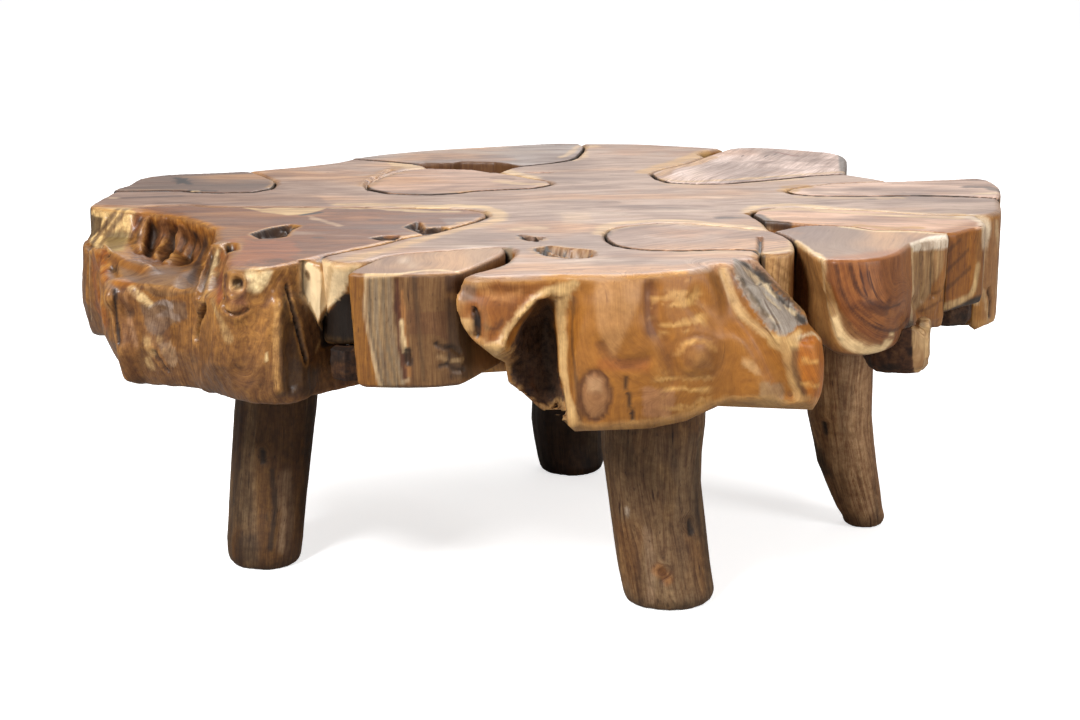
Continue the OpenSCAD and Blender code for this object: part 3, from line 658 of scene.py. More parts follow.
# %% Varnished teak
def teak(name, contrast, relief, coat, coat_roughness):
    """Teak, by the contrast of its growth lines from 0 to 1, their relief in millimetres, and its varnish."""
    material = bpy.data.materials.new(name)
    material.use_nodes = True
    tree = material.node_tree
    bsdf = tree.nodes["Principled BSDF"]
    stain = add_node(tree, "ShaderNodeAttribute", attribute_name="stain")
    figure = add_node(tree, "ShaderNodeAttribute", attribute_name="figure")
    grain = add_node(tree, "ShaderNodeAttribute", attribute_name="grain")
    worn = add_node(tree, "ShaderNodeAttribute", attribute_name="roughness")
    place = add_node(tree, "ShaderNodeTexCoord").outputs["Object"]

    def lines(size, detail):
        """Noise drawn out along the growth lines, by its width across them and its length along them."""
        width, length = size
        cross = add_node(tree, "ShaderNodeMath", {0: figure.outputs["Fac"]}, operation="DIVIDE")
        cross.inputs[1].default_value = width
        along = add_node(tree, "ShaderNodeVectorMath", {0: place}, operation="SCALE")
        along.inputs["Scale"].default_value = 1 / (length * MM)
        return add_node(tree, "ShaderNodeTexNoise", {"Vector": along.outputs[0], "W": cross.outputs[0]},
                        noise_dimensions="4D", Scale=1, Detail=detail, Roughness=0.6).outputs["Fac"]

    def scaled(source, times):
        """A value times a number."""
        product = add_node(tree, "ShaderNodeMath", {0: source}, operation="MULTIPLY")
        product.inputs[1].default_value = times
        return product.outputs[0]

    def shade(colour, factor, amount, dark, low, high):
        """Tints a colour dark where a factor is low, and not at all where it is high, by some amount."""
        ramp = add_node(tree, "ShaderNodeValToRGB", {"Fac": factor})
        ramp.color_ramp.elements[0].position = low
        ramp.color_ramp.elements[0].color = from_hex(dark)
        ramp.color_ramp.elements[1].position = high
        ramp.color_ramp.elements[1].color = from_hex("#FFFFFF")
        mixed = add_node(tree, "ShaderNodeMix", {0: amount, 6: colour, 7: ramp.outputs["Color"]},
                         data_type="RGBA", blend_type="MULTIPLY")
        return mixed.outputs[2]

    broad = lines(BROAD_BAND, 3)
    growth = lines(GROWTH_LINE, 3)
    streaks = lines(FINE_STREAK, 2)
    pores = lines(PORE, 1)
    checks = lines(CHECK, 2)
    mottle = add_node(tree, "ShaderNodeTexNoise", {"Vector": place}, Scale=1 / (MOTTLE * MM), Detail=5,
                      Roughness=0.65).outputs["Fac"]
    lined = scaled(grain.outputs["Fac"], contrast)
    colour = shade(stain.outputs["Color"], broad, lined, "#957048", 0.34, 0.6)
    colour = shade(colour, growth, lined, "#9C744C", 0.36, 0.56)
    colour = shade(colour, streaks, lined, "#AE8860", 0.36, 0.6)
    colour = shade(colour, pores, lined, "#6E4E30", 0.26, 0.36)
    colour = shade(colour, checks, grain.outputs["Fac"], "#7A5A44", 0.27, 0.33)
    colour = shade(colour, mottle, worn.outputs["Fac"], "#86643E", 0.36, 0.62)
    tree.links.new(colour, bsdf.inputs["Base Color"])

    gloss = add_node(tree, "ShaderNodeMapRange", {"Value": worn.outputs["Fac"]}, To_Min=0.46, To_Max=0.8)
    tree.links.new(gloss.outputs[0], bsdf.inputs["Roughness"])
    height = add_node(tree, "ShaderNodeMath", {0: growth, 1: streaks}, operation="ADD")
    height = add_node(tree, "ShaderNodeMath", {0: height.outputs[0], 1: pores}, operation="ADD")
    lumps = add_node(tree, "ShaderNodeMath", {0: mottle, 1: worn.outputs["Fac"]}, operation="MULTIPLY")
    height = add_node(tree, "ShaderNodeMath", {0: height.outputs[0], 1: scaled(lumps.outputs[0], 3)},
                      operation="ADD")
    bump = add_node(tree, "ShaderNodeBump", {"Height": height.outputs[0]}, Strength=0.6,
                    Distance=relief * MM)
    tree.links.new(bump.outputs[0], bsdf.inputs["Normal"])
    bsdf.inputs["Specular IOR Level"].default_value = 0.4
    bsdf.inputs["Coat Weight"].default_value = coat
    bsdf.inputs["Coat Roughness"].default_value = coat_roughness
    return material


# Sanded by hand and varnished: an even satin that mirrors nothing sharply
sanded_teak = teak("varnished sanded teak root", 0.5, 0.2, 0.25, 0.38)
# Hollowed by rain and varnished over: deeper relief, and small glints on the ridges
eroded_teak = teak("varnished eroded teak root", 0.5, 0.7, 0.3, 0.26)
# Peeled and oiled: dull, with open grain
dry_teak = teak("oiled peeled teak branch", 0.55, 0.7, 0.03, 0.4)
print("teak is ready:", sanded_teak.name, eroded_teak.name, dry_teak.name, sep="; ")

# %% [markdown]
# A slice is sanded flat on top and worn round its edge. Seen from above it is a dull pinkish brown with
# cloudy grey places; its sides are more orange. The grain of a root runs out from the stump, so each slice
# has its own heading, and its growth lines are measured across that heading.

# %% Where slices meet
# All in millimetres but the second last, which is how far up or down a face looks when it is no wall
SEAM_REACH = 8
SEAM_GAP = (3.5, 6.5)
LEVEL = 0.97
LOWEST_SEAM = 200


def seam_walls(node, points, out):
    """1 where a piece faces a neighbour across a seam, found from the solids, and 0 where it is free."""
    corners, faces = [], []
    for other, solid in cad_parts.items():
        if other != node and other not in FIXINGS:
            start = len(corners)
            corners += [v.co[:] for v in solid.data.vertices]
            faces += [[start + i for i in face.vertices] for face in solid.data.polygons]
    tree = BVHTree.FromPolygons(corners, faces)
    gap = np.full(len(points), float(SEAM_REACH))
    for i in np.flatnonzero((np.abs(out[:, 2]) < LEVEL) & (points[:, 2] > LOWEST_SEAM)):
        found = tree.find_nearest(points[i] * MM, SEAM_REACH * MM)
        if found[0] is not None:
            gap[i] = found[3] / MM
    return fade(gap, *SEAM_GAP)


print("walls less than", SEAM_GAP[1], "mm from a neighbour are shaded as a seam")

# %% The first coat of stain
# Clouds: colour, strength, size, shift of the noise, and its values for a full and for no stain. In the haze,
# the size is a share of a cloud that is drawn out along the grain.
SIDE_CLOUDS = {
    "golden": ("#D69A48", 0.5, (120, 90, 120), 5, 0.5, 0.05),
    "brown": ("#6E4618", 0.4, (120, 90, 120), 5, -0.55, -0.1),
}
TOP_HAZE = {
    "dull haze": ("#86695A", 0.65, 1, 6, 0.55, 0.05),
    "warm haze": ("#DDA468", 0.6, 1, 6, -0.55, -0.05),
    "brown wisps": ("#7A5844", 0.55, 0.5, 9, 0.55, 0.1),
    "pale wisps": ("#EAD4BC", 0.45, 0.7, 19, 0.6, 0.2),
}
TOP_CLOUDS = {
    "dull spots": ("#86604A", 0.5, (80, 46, 60), 29, 0.5, 0.05),
    "tan spots": ("#C98E58", 0.4, (90, 60, 60), 33, 0.5, 0.1),
}
HAZE_LENGTH = 170
HAZE_WIDTH = 50
HAZE_HEIGHT = 60
# A face belongs to the top by its tilt and by its depth under the top, and only steep walls are seams
FACING_UP = (0.8, 0.4)
TOP_DEPTH = (10, 40)
STEEP = (0.45, 0.75)
# Growth lines wander in long waves and in short ones
LONG_WAVES = (170, 170, 190)
SHORT_WAVES = (45, 45, 90)


def across(points, heading):
    """The distance across growth lines that run at one heading, in degrees from the +X axis."""
    angle = math.radians(heading)
    return points[:, 1] * math.cos(angle) - points[:, 0] * math.sin(angle)


def first_coat(bench, node, heading, top, side, side_heading=80):
    """The first stain, and a figure whose lines have one heading on the top and run upright on the sides."""
    angle = math.radians(heading)
    bench.up = fade(bench.out[:, 2], *FACING_UP) * fade(TOP - bench.at[:, 2], *TOP_DEPTH)
    flat = fade(bench.up, *FACING_UP)
    bench.figure = flat * across(bench.at, heading) + (1 - flat) * across(bench.at, side_heading)
    bench.figure += 11 * rough_noise(bench.at, LONG_WAVES, 3) + 4 * noise(bench.at, SHORT_WAVES, 4)
    bench.grain = 0.85 + 0.15 * bench.up
    bench.stain[:] = from_hex(side)[:3]
    for clouds in SIDE_CLOUDS.values():
        cloud(bench, *clouds)
    paint(bench, top, bench.up)
    drawn_out = np.array([abs(math.cos(angle)) * HAZE_LENGTH + HAZE_WIDTH,
                          abs(math.sin(angle)) * HAZE_LENGTH + HAZE_WIDTH, HAZE_HEIGHT])
    for colour, strength, share, *values in TOP_HAZE.values():
        cloud(bench, colour, strength, drawn_out * share, *values, bench.up)
    for clouds in TOP_CLOUDS.values():
        cloud(bench, *clouds, bench.up)
    bench.rough = 0.25 * (1 - bench.up)
    # Walls that face a neighbour across a seam are painted dark, as shade in the gap
    bench.seam = seam_walls(node, bench.at, bench.out) * fade(np.abs(bench.out[:, 2]), *STEEP)
    paint(bench, "#24160C", bench.seam, 0.9)
    return bench


print(len(SIDE_CLOUDS) + len(TOP_HAZE) + len(TOP_CLOUDS), "layers of stain make the first coat")

# %% [markdown]
# The last steps are the same for every piece: painted shade on seam walls and in pits, a calmer grain in
# cream sapwood, and bare wood instead of varnish where a piece is matt.

# %% Finishing a piece
# Red plus green less blue is over the first value in cream sapwood, and under the second in heartwood
SAPWOOD = (1.22, 1.06)


def bare_faces(bench):
    """1 for each face of a piece whose points are mostly matt, and 0 for the others."""
    mesh = bench.piece.data
    corners = np.empty(len(mesh.loops), int)
    mesh.loops.foreach_get("vertex_index", corners)
    starts = np.empty(len(mesh.polygons), int)
    mesh.polygons.foreach_get("loop_start", starts)
    matt = np.add.reduceat(bench.matt[corners], starts) / np.diff([*starts, len(corners)])
    return (matt > 0.5).astype(int)


def finish_piece(bench, material):
    """Paints shade on seam walls and in pits, calms the grain of cream sapwood, stores the work, and gives
    the piece its slot and its material, which is bare where it is matt."""
    # Painted shade on the seam walls
    paint(bench, "#20140B", bench.seam, 0.85)
    # Each pit gets its colour below the surface, painted shade in the dark ones
    for colour, weight in bench.pits:
        cloud(bench, colour, 0.97, 9, 23, 0, -1.2, weight)
    cream = bench.stain[:, 0] + bench.stain[:, 1] - bench.stain[:, 2]
    bench.grain *= 1 - 0.65 * fade(cream, *SAPWOOD)
    put_down(bench)
    mesh = bench.piece.data
    mesh.materials.append(material)
    if bench.matt.any():
        mesh.materials.append(dry_teak)
        mesh.polygons.foreach_set("material_index", bare_faces(bench))
    print(bench.piece.name, len(mesh.polygons), "faces")


print("matt places are finished with", dry_teak.name)

# %% [markdown]
# The left root is the showpiece: rain and soil have eaten a bowl into it and left ribs, knobs and a knot
# with an eye. The deep forms are pushed in first, on a coarse skin, and the fine ones after a fresh remesh.
# Marks are pixels of the photograph. In the tables, a hollow has its softness in pixels, its move in
# millimetres and its outline. A groove has its width and depth in millimetres and its marks. A depth below
# zero is a ridge.

# %% Marks of the left root: forms
BOWL = [(142, 217), (175, 222), (198, 232), (205, 240), (196, 262), (170, 268), (148, 264), (130, 262),
        (134, 250), (145, 237)]
FLOOR = [(112, 256), (135, 262), (152, 266), (176, 268), (200, 262), (206, 276), (194, 292), (156, 298),
         (136, 284), (116, 272)]
HOLE = [(252, 234), (268, 229), (276, 227), (290, 225), (299, 226), (290, 230), (286, 236), (272, 238),
        (260, 238)]
SLIT = [(372, 238), (384, 236), (398, 236), (396, 239), (382, 240)]
CRACK = [(406, 227), (418, 222), (424, 229), (440, 227), (450, 229), (436, 234), (424, 234)]
WEDGE = [(300, 262), (322, 259), (340, 265), (362, 264), (350, 280), (344, 293), (330, 306), (322, 320),
         (322, 328), (313, 312), (300, 295)]
DEEP_SLIT = [(205, 307), (199, 321), (196, 338)]
BUTTRESS_SLIT = [(115, 290), (116, 314), (119, 344)]
PANEL_SPLIT = [(288, 287), (299, 330), (306, 360)]
DEEP_ROOT_HOLLOWS = {
    "bowl": (26, (14, 20, -16), BOWL),
}
DEEP_ROOT_GROOVES = {
    "hollow right of the bowl": (20, 17, [(206, 240), (199, 262), (190, 282)]),
    "upper knob": (22, -12, [(101, 254), (108, 256)]),
    "ridge from the knob": (16, -11, [(108, 258), (130, 266), (148, 272)]),
    "orange finger": (15, -10, [(100, 262), (99, 288), (104, 318)], 0, (0, 1, 0)),
    "valley between the buttresses": (14, 13, [(106, 268), (111, 284), (114, 306)]),
    "middle knob": (22, -20, [(122, 286), (128, 296)]),
    "middle buttress": (20, -17, [(123, 300), (125, 330), (136, 374)]),
    "hollow beside the middle buttress": (34, 12, [(158, 318), (164, 338)]),
    "winding rib": (13, -13, [(222, 243), (216, 256), (212, 270), (207, 288), (200, 306)]),
    "knot column": (24, -9, [(236, 276), (236, 308)]),
    "hollow beside the knot column": (24, 8, [(256, 306), (250, 330), (242, 372)]),
    "right buttress": (24, -6, [(222, 312), (216, 350), (206, 384)]),
    "edge of the right panel": (14, -5, [(278, 300), (278, 340), (278, 388)]),
    "panel beyond the edge": (18, 6, [(292, 330), (294, 384)]),
}
FINE_ROOT_GROOVES = {
    "first rib": (11, -7, [(147, 220), (142, 236), (140, 254)], 6),
    "second rib": (12, -8, [(164, 224), (166, 242), (157, 260)], 6),
    "third rib": (12, -8, [(181, 230), (180, 246), (172, 264)], 6),
    "first furrow": (10, 7, [(155, 222), (153, 240), (148, 256)], 5),
    "second furrow": (10, 7, [(173, 228), (172, 246), (164, 262)], 5),
    "third furrow": (11, 8, [(193, 236), (189, 250), (182, 264)], 5),
    "groove left of the winding rib": (8, 8, [(211, 250), (205, 272), (198, 294)]),
    "deep slit under the winding rib": (6, 26, DEEP_SLIT),
    "slit between the buttresses": (3.5, 3, BUTTRESS_SLIT, 1),
    "split beside the panel": (4, 9, PANEL_SPLIT, 1),
    "hole at the rim": (9, 22, [(230, 244), (231, 250)]),
    "eye of the knot": (10, 12, [(236, 284)]),
    "ring round the eye": (5, -3, [
        (225, 275), (236, 272), (247, 279), (248, 290), (240, 297), (228, 294), (224, 284)]),
    "fold under the knot": (4, 5, [(224, 298), (224, 311), (236, 315), (247, 310)]),
    "crack at the foot": (4, 6, [(153, 352), (160, 362), (168, 372)]),
    "seam of the end sliver": (4, 5, [(89, 214), (88, 250), (88, 290), (90, 322)]),
}
print(len(DEEP_ROOT_GROOVES) + len(FINE_ROOT_GROOVES), "grooves and ridges shape the left root")

# %% Marks of the left root: colours
# A field is: colour, strength, softness in pixels, outline, and how ragged it is. A streak is: colour,
# strength, width in millimetres, marks, and how ragged it is. A knot is: reach in millimetres, strength,
# mark.
ROOT_FIELDS = {
    "pale facet": ("#F8D490", 0.97, 4, [
        (89, 208), (137, 208), (135, 217), (132, 230), (123, 250), (108, 252), (90, 245)]),
    "dark patch on the facet": ("#4E3822", 0.8, 5, [
        (87, 219), (94, 214), (102, 218), (99, 230), (89, 240)], 0.5),
    "grey foot of the facet": ("#7A683E", 0.8, 6, [
        (104, 234), (122, 230), (130, 234), (123, 250), (108, 253)]),
    "warm front of the top": ("#B8661C", 0.55, 16, [
        (215, 252), (240, 238), (290, 240), (302, 253), (262, 264), (222, 266)], 0.6),
    "shade in the bowl": ("#86562A", 0.85, 8, BOWL),
    "floor of the bowl": ("#8C6A46", 0.8, 8, FLOOR, 0.3),
    "grey valley": ("#8D7A70", 0.7, 5, [(103, 268), (112, 270), (117, 284), (114, 300), (104, 286)]),
    # A painted blue-grey reflection on the polished patch
    "painted blue-grey reflection on the polish": ("#7B6858", 0.6, 8, [
        (140, 304), (160, 300), (184, 304), (186, 318), (170, 326), (160, 338), (148, 330)], 0.5),
    "stony patch": ("#C0A27E", 0.6, 6, [
        (163, 346), (170, 340), (177, 348), (180, 360), (172, 370), (165, 360)], 1.2),
    # The right panel turns away from the light: darker wood and painted shade
    "right panel, darker and in painted shade": ("#5F431F", 0.75, 6, [
        (284, 292), (298, 300), (306, 360), (318, 372), (312, 396), (276, 396), (277, 330)]),
    "chip": ("#8C643A", 1, 3, [(290, 287), (308, 302), (322, 328), (315, 352), (307, 356), (298, 328)]),
    "wedge": ("#FFE4B4", 0.97, 3, WEDGE),
    "cream lens on top": ("#E6C48C", 0.9, 2, [
        (243, 207.5), (262, 209), (290, 206), (330, 207), (318, 211), (305, 214), (288, 215),
        (262, 212)], 0.4),
    "grey flat by the crack": ("#A08C80", 0.6, 3, [(440, 218), (478, 217), (474, 224), (450, 227)]),
}
ROOT_STREAKS = {
    "light line across the facet": ("#7C6244", 0.8, 5, [(118, 209), (100, 232), (88, 250)]),
    "second line across the facet": ("#8A6E4A", 0.8, 5, [(126, 209), (108, 234), (95, 252)]),
    "post at the rim": ("#9A5C26", 0.9, 9, [(139, 210), (138, 218), (136, 228)]),
    "shade beside the post": ("#3A2414", 0.8, 6, [(145, 214), (142, 230), (136, 246)]),
    "lip of the bowl": ("#B27428", 1, 14, [(139, 210), (150, 213), (175, 219), (202, 226), (219, 229)]),
    # Painted highlights on the three ribs of the bowl, and painted shade in the furrows between them
    "first rib's painted highlight": ("#A4744A", 0.7, 7, [(147, 222), (142, 236), (140, 252)], 0.9),
    "second rib's painted highlight": ("#A4744A", 0.8, 8, [(165, 226), (166, 242), (158, 258)], 0.9),
    "third rib's painted highlight": ("#A4744A", 0.7, 7, [(181, 232), (180, 246), (173, 262)], 0.9),
    # Painted shade in the deep corner of the bowl
    "painted shade in the corner of the bowl": ("#2C1C10", 0.9, 10, [(196, 236), (190, 256)]),
    "painted shade in the first furrow": ("#38281A", 0.5, 7, [(155, 226), (153, 240), (148, 254)], 1.3),
    "painted shade in the second furrow": ("#38281A", 0.5, 7, [(173, 232), (172, 246), (164, 260)], 1.3),
    "mauve sweep": ("#8A6A50", 0.8, 16, [(130, 264), (150, 268), (170, 272), (190, 276)]),
    "orange knob": ("#AA620C", 1, 12, [(95, 254), (101, 252), (106, 258), (100, 268), (103, 280)]),
    "orange ridge": ("#A06A2A", 1, 9, [(108, 256), (124, 263), (142, 270)]),
    "middle knob": ("#B87826", 1, 10, [(118, 282), (124, 282), (130, 290)]),
    # A painted highlight along the middle buttress's top edge
    "painted highlight on the buttress's top edge": ("#F0CF94", 1, 7, [(131, 290), (140, 296), (150, 304)]),
    "middle buttress": ("#A06C34", 0.8, 14, [(125, 296), (128, 330), (134, 372)]),
    "line down the buttress": ("#CFA070", 0.6, 4, [(125, 296), (130, 320), (137, 346)]),
    "dark slit between the buttresses": ("#2A1A0E", 0.9, 3, BUTTRESS_SLIT, 0.6),
    "orange finger": ("#B0681E", 0.85, 16, [(95, 262), (96, 290), (103, 322)]),
    "first glint on the polish": ("#C8BCB4", 0.6, 5, [(150, 307), (160, 303), (172, 305)], 1.2),
    "second glint on the polish": ("#B8A494", 0.6, 5, [(156, 316), (168, 313), (178, 318)], 1.2),
    "first speck": ("#D8B47A", 0.8, 8, [(146, 342), (152, 352)], 0.9),
    "second speck": ("#D8B47A", 0.8, 8, [(148, 362), (152, 368)], 0.9),
    "third speck": ("#D8B47A", 0.8, 6, [(160, 340), (164, 352)], 0.9),
    "winding rib": ("#B8935E", 1, 11, [(223, 243), (217, 254), (213, 268), (207, 288), (202, 304)], 0.5),
    "light on the winding rib": ("#EBD2A0", 0.8, 4, [(221, 246), (214, 262), (208, 284)], 1.2),
    # Painted shade in the hollow right of the bowl
    "painted shade in the hollow beside the bowl": ("#4A3A34", 0.8, 7, [(206, 242), (198, 262), (190, 282)]),
    "second lip": ("#A87238", 0.8, 8, [
        (213, 242), (224, 237), (240, 239), (237, 250), (226, 262), (218, 268)]),
    "hole at the rim": ("#1E120A", 1, 8, [(229, 243), (232, 251)]),
    "golden front edge": ("#C0823A", 0.85, 6, [(217, 268), (242, 267), (272, 267), (296, 261), (318, 257)]),
    "left of the knot": ("#A65C24", 1, 9, [(221, 276), (220, 300)]),
    "purple bulge": ("#86502E", 0.9, 16, [(236, 290), (237, 306)]),
    "ring round the eye": ("#7E5030", 1, 4, [
        (225, 278), (232, 272), (244, 276), (248, 288), (240, 297), (228, 294), (225, 280)]),
    "eye": ("#E2B87C", 1, 9, [(233, 284), (238, 286)]),
    "pupil": ("#4C2E1A", 1, 4, [(240, 281), (241, 286)]),
    "cream beside the knot": ("#F7DCA6", 1, 9, [(252, 274), (268, 270), (264, 278), (254, 288)]),
    "deep slit": ("#160E08", 1, 6, DEEP_SLIT),
    "fissures": ("#CDAA70", 0.7, 7, [(212, 300), (219, 318), (228, 338)], 0.8),
    "cream dash": ("#F0D49A", 1, 3, [(266, 353), (266, 360)], 0.8),
    "golden edge of the panel": ("#D9A862", 0.8, 5, [(278, 300), (276, 340), (277, 388)]),
    "light round the chip": ("#C9A26C", 0.8, 3, [(310, 304), (322, 328), (316, 352)]),
    "split": ("#1C110A", 1, 2.8, PANEL_SPLIT),
    "knot in the wedge": ("#9A7A52", 0.9, 5, [(307, 275), (309, 277)]),
    "slit in the cream lens": ("#2A1A10", 1, 6, [(302, 215), (320, 212.5)]),
    "small slit": ("#4A3220", 0.9, 5, [(315, 237.5), (321, 237.5)]),
    "second small slit": ("#4A3220", 0.8, 5, [(370, 220), (380, 220)]),
    "scratches": ("#E2C4A0", 0.6, 7, [(312, 217), (326, 222), (340, 226)], 1.2),
    "crumbs in the hole": ("#B8905E", 0.8, 4, [(256, 237.4), (268, 236.6), (282, 234)], 1.5),
    "ragged end of the hole": ("#6A4626", 0.8, 5, [(284, 226), (296, 225), (304, 224.4)], 1.2),
    "cream seam": ("#EACB98", 0.85, 12, [
        (330, 207.5), (362, 208), (388, 209), (426, 211.5), (456, 211.5)], 0.7),
    "golden lower seam": ("#DDAE6C", 0.7, 12, [
        (470, 222), (446, 229), (424, 236), (398, 243), (372, 250), (344, 258)], 0.8),
    "cream line of the end sliver": ("#D8B888", 0.8, 4, [(90, 250), (89, 290), (91, 318)]),
}
ROOT_RINGS = {"eye": (22, 1, (236, 284)), "swirl": (34, 0.8, (158, 281)),
              "swirl under the knot": (26, 0.5, (248, 318))}
print(len(ROOT_FIELDS) + len(ROOT_STREAKS), "fields and streaks colour the left root")

# %% [markdown]
# Two skins are made in turn. On the coarse one the bowl, the knobs and the buttresses are pushed in and
# pulled out, and the fine one takes ribs, slits and the eye. Sculpting by hand would look as good, but it
# couldn't be run again after a change of the solid.

# %% The left root: carved
ROOT_SKINS = (3.5, 2.7)
OPENINGS = ((HOLE, 10), (SLIT, 7), (CRACK, 7))
# The wedge leans back at its left side and forward at its right, in millimetres
WEDGE_SIDES = (298, 322)
WEDGE_LEAN = (22, -22)


def roughen(bench, depth, size, shift, where):
    """Breaks up the skin with noise of a size, so many millimetres high."""
    bench.move += bench.out * (depth * rough_noise(bench.at, size, shift) * where)[:, None]


bench = Bench(rough_out("left_front_root", "carved_left_front_root", ROOT_SKINS[0]))
carve(bench, DEEP_ROOT_HOLLOWS, DEEP_ROOT_GROOVES)
bench = new_skin(bench, ROOT_SKINS[1])
carve(bench, grooves=FINE_ROOT_GROOVES)
# The holes, the slit and the crack are painted dark brown inside, as shade
for opening, depth in OPENINGS:
    pit(bench, opening, 1.6, depth, "#3E2A18")
lean = np.interp(bench.seen[:, 0], WEDGE_SIDES, WEDGE_LEAN)
bench.move[:, 1] += within(bench, WEDGE, 4, all_sides=True) * lean
rugged = fade(bench.out[:, 2], 0.6, 0.8)
roughen(bench, 2.4, (16, 16, 40), 8, rugged)
roughen(bench, 3, (12, 12, 22), 18, within(bench, BOWL, 10))
print("the fine carving moves the root by up to", round(np.linalg.norm(bench.move, axis=1).max()), "mm")

# %% The left root: stained
# A brown arm crosses the top, here seen from above, in millimetres
BROWN_ARM = np.array([(-470.0, -150.0), (-415.0, -250.0), (-380.0, -400.0)])
COLUMN_FLOW = [(272, 266), (258, 292), (250, 322), (240, 364)]

bench = first_coat(bench, "left_front_root", 2, "#884E14", "#A4702F", side_heading=50)
bench.seam *= 1 - within(bench, WEDGE, 8, all_sides=True)
bench.rough[:] = 0.6 * rugged * (1 - within(bench, WEDGE, 6, all_sides=True))
bench.matt = np.maximum.reduce([bench.matt, within(bench, BOWL, 6), within(bench, FLOOR, 6)])
paint(bench, "#946438", fade(gap_to(bench.at[:, :2], BROWN_ARM), 20, 75) * bench.up, 0.8)
paint(bench, "#6E4C30", fade(bench.at[:, 2], 300, 380) * rugged, 0.5)
follow(bench, COLUMN_FLOW, 44, 0.8)
colour_in(bench, ROOT_FIELDS, ROOT_STREAKS, ROOT_RINGS)
cloud(bench, "#2A1A0E", 0.55, (9, 9, 26), 15, 0.75, 0.4, rugged)
# Painted shade in the root's hollows and painted highlight on its ridges
paint_shade_and_highlight(bench, "#33210E", "#CE9850", 0.75, 0.04, 0.3)
finish_piece(bench, eroded_teak)

# %% [markdown]
# The fitted slices keep sanded tops with cream sapwood here and there along their seams. The block at the
# front left shows an orange face, a grey striped band and a reddish streak. The block at the right shows
# the V of its heartwood, bordered by cream.

# %% Marks of the front left block
UPPER_CHIP = [(436, 344), (446, 349), (452, 347), (460, 354)]
LOWER_CHIP = [(440, 366), (448, 364), (454, 370), (464, 370)]
BLOCK_GROOVES = {
    "reddish streak": (6, 3, [(398, 282), (400, 320), (406, 378)], 2),
    "first chip": (4, 3, UPPER_CHIP, 2),
    "second chip": (4, 3, LOWER_CHIP, 2),
    "blob": (6, 4, [(408, 352), (408, 362)]),
}
BLOCK_FIELDS = {
    "orange face": ("#A06A22", 0.95, 3, [
        (343, 272), (366, 275), (366, 320), (380, 390), (356, 390), (349, 360), (344, 320)]),
    "grey striped band": ("#A88C64", 0.9, 3, [
        (365, 275), (393, 278), (396, 320), (404, 352), (410, 382), (380, 391), (366, 320)]),
    "patina": ("#846038", 0.8, 5, [(404, 276), (448, 274), (470, 330), (476, 382), (412, 384)]),
    "brown cloud": ("#7A5230", 0.8, 8, [(408, 312), (448, 314), (446, 336), (410, 334)], 1),
    "dark upper corner": ("#4A2E1A", 0.8, 4, [(444, 276), (462, 274), (462, 294), (446, 292)]),
    "shadow column": ("#4A3420", 0.7, 6, [(446, 300), (472, 300), (474, 378), (450, 378)]),
}
BLOCK_STREAKS = {
    "first stripe": ("#746450", 0.85, 2.5, [(370, 278), (371, 330), (384, 388)]),
    "second stripe": ("#8C7C66", 0.8, 3, [(376, 278), (377, 330), (390, 388)]),
    "third stripe": ("#7C6C56", 0.85, 2.5, [(383, 278), (385, 330), (397, 386)]),
    "fourth stripe": ("#98866C", 0.8, 3, [(389, 278), (391, 330), (403, 384)]),
    "line beside the face": ("#D2B890", 0.8, 3, [(366, 276), (366, 320), (380, 388)]),
    "dark line": ("#5A4026", 0.7, 4, [(414, 278), (418, 320), (424, 380)]),
    "reddish streak": ("#5E2E16", 0.9, 4.5, [(397, 282), (399, 320), (405, 378)], 1),
    "orange sliver": ("#B07A42", 0.8, 3.5, [(402, 292), (405, 330), (409, 376)], 1),
    "cream sliver": ("#EED2A0", 0.9, 3.5, [(402, 322), (403, 336), (405, 352)], 1),
    "blob": ("#26160E", 0.9, 5.5, [(408, 352), (409, 363)], 1),
    "first chip": ("#4A3420", 0.8, 3, UPPER_CHIP, 1),
    "second chip": ("#BC9C6E", 0.7, 4, [(438, 356), (447, 360), (462, 360)], 2),
    "third chip": ("#4A3420", 0.8, 3, LOWER_CHIP, 1),
    "fourth chip": ("#4A3420", 0.7, 2.5, [(446, 346), (449, 356), (447, 366)], 1),
    "light top edge": ("#E8C896", 0.8, 5, [(366, 275), (396, 274), (432, 270), (458, 272)]),
}
print(len(BLOCK_FIELDS) + len(BLOCK_STREAKS), "fields and streaks colour the front left block")

# %% Marks of the right block
RIGHT_V = [(827, 262), (833, 290), (846, 318), (868, 338), (888, 344), (906, 338)]
RIGHT_BLOCK_GROOVES = {
    "hollow under the cream edge": (10, 5, [(914, 300), (922, 316)]),
    "flute in the striped side": (7, 4, [(922, 252), (922, 300)]),
    "second flute": (6, 4, [(934, 252), (934, 296)]),
    "edge of the left wall": (7, -4, [(826, 262), (830, 300), (840, 336)]),
}
RIGHT_BLOCK_FIELDS = {
    "left wall": ("#B2824A", 0.85, 4, [(800, 246), (826, 258), (834, 310), (842, 352), (812, 330)]),
    "heartwood": ("#A2622A", 0.9, 5, [
        (825, 258), (912, 247), (914, 293), (912, 336), (897, 345), (880, 345), (857, 331), (840, 309),
        (829, 282)]),
    "dark heart": ("#5E3016", 0.75, 18, [(856, 302), (890, 299), (888, 314), (866, 316)], 0.9),
    "striped side": ("#B89464", 0.85, 4, [(913, 246), (944, 244), (942, 290), (930, 317), (914, 312)]),
    "orange corner like the strip beside it": ("#B07430", 0.85, 3, [
        (946, 262), (946, 320), (915, 320), (922, 306), (934, 286)]),
    # Cream sapwood brightened to white as a painted highlight on the lit corner
    "cream corner with a painted white highlight": ("#F5E8D2", 0.97, 2, [
        (910, 243), (930, 236), (955, 233.5), (955, 246), (943, 249), (912, 252)]),
}
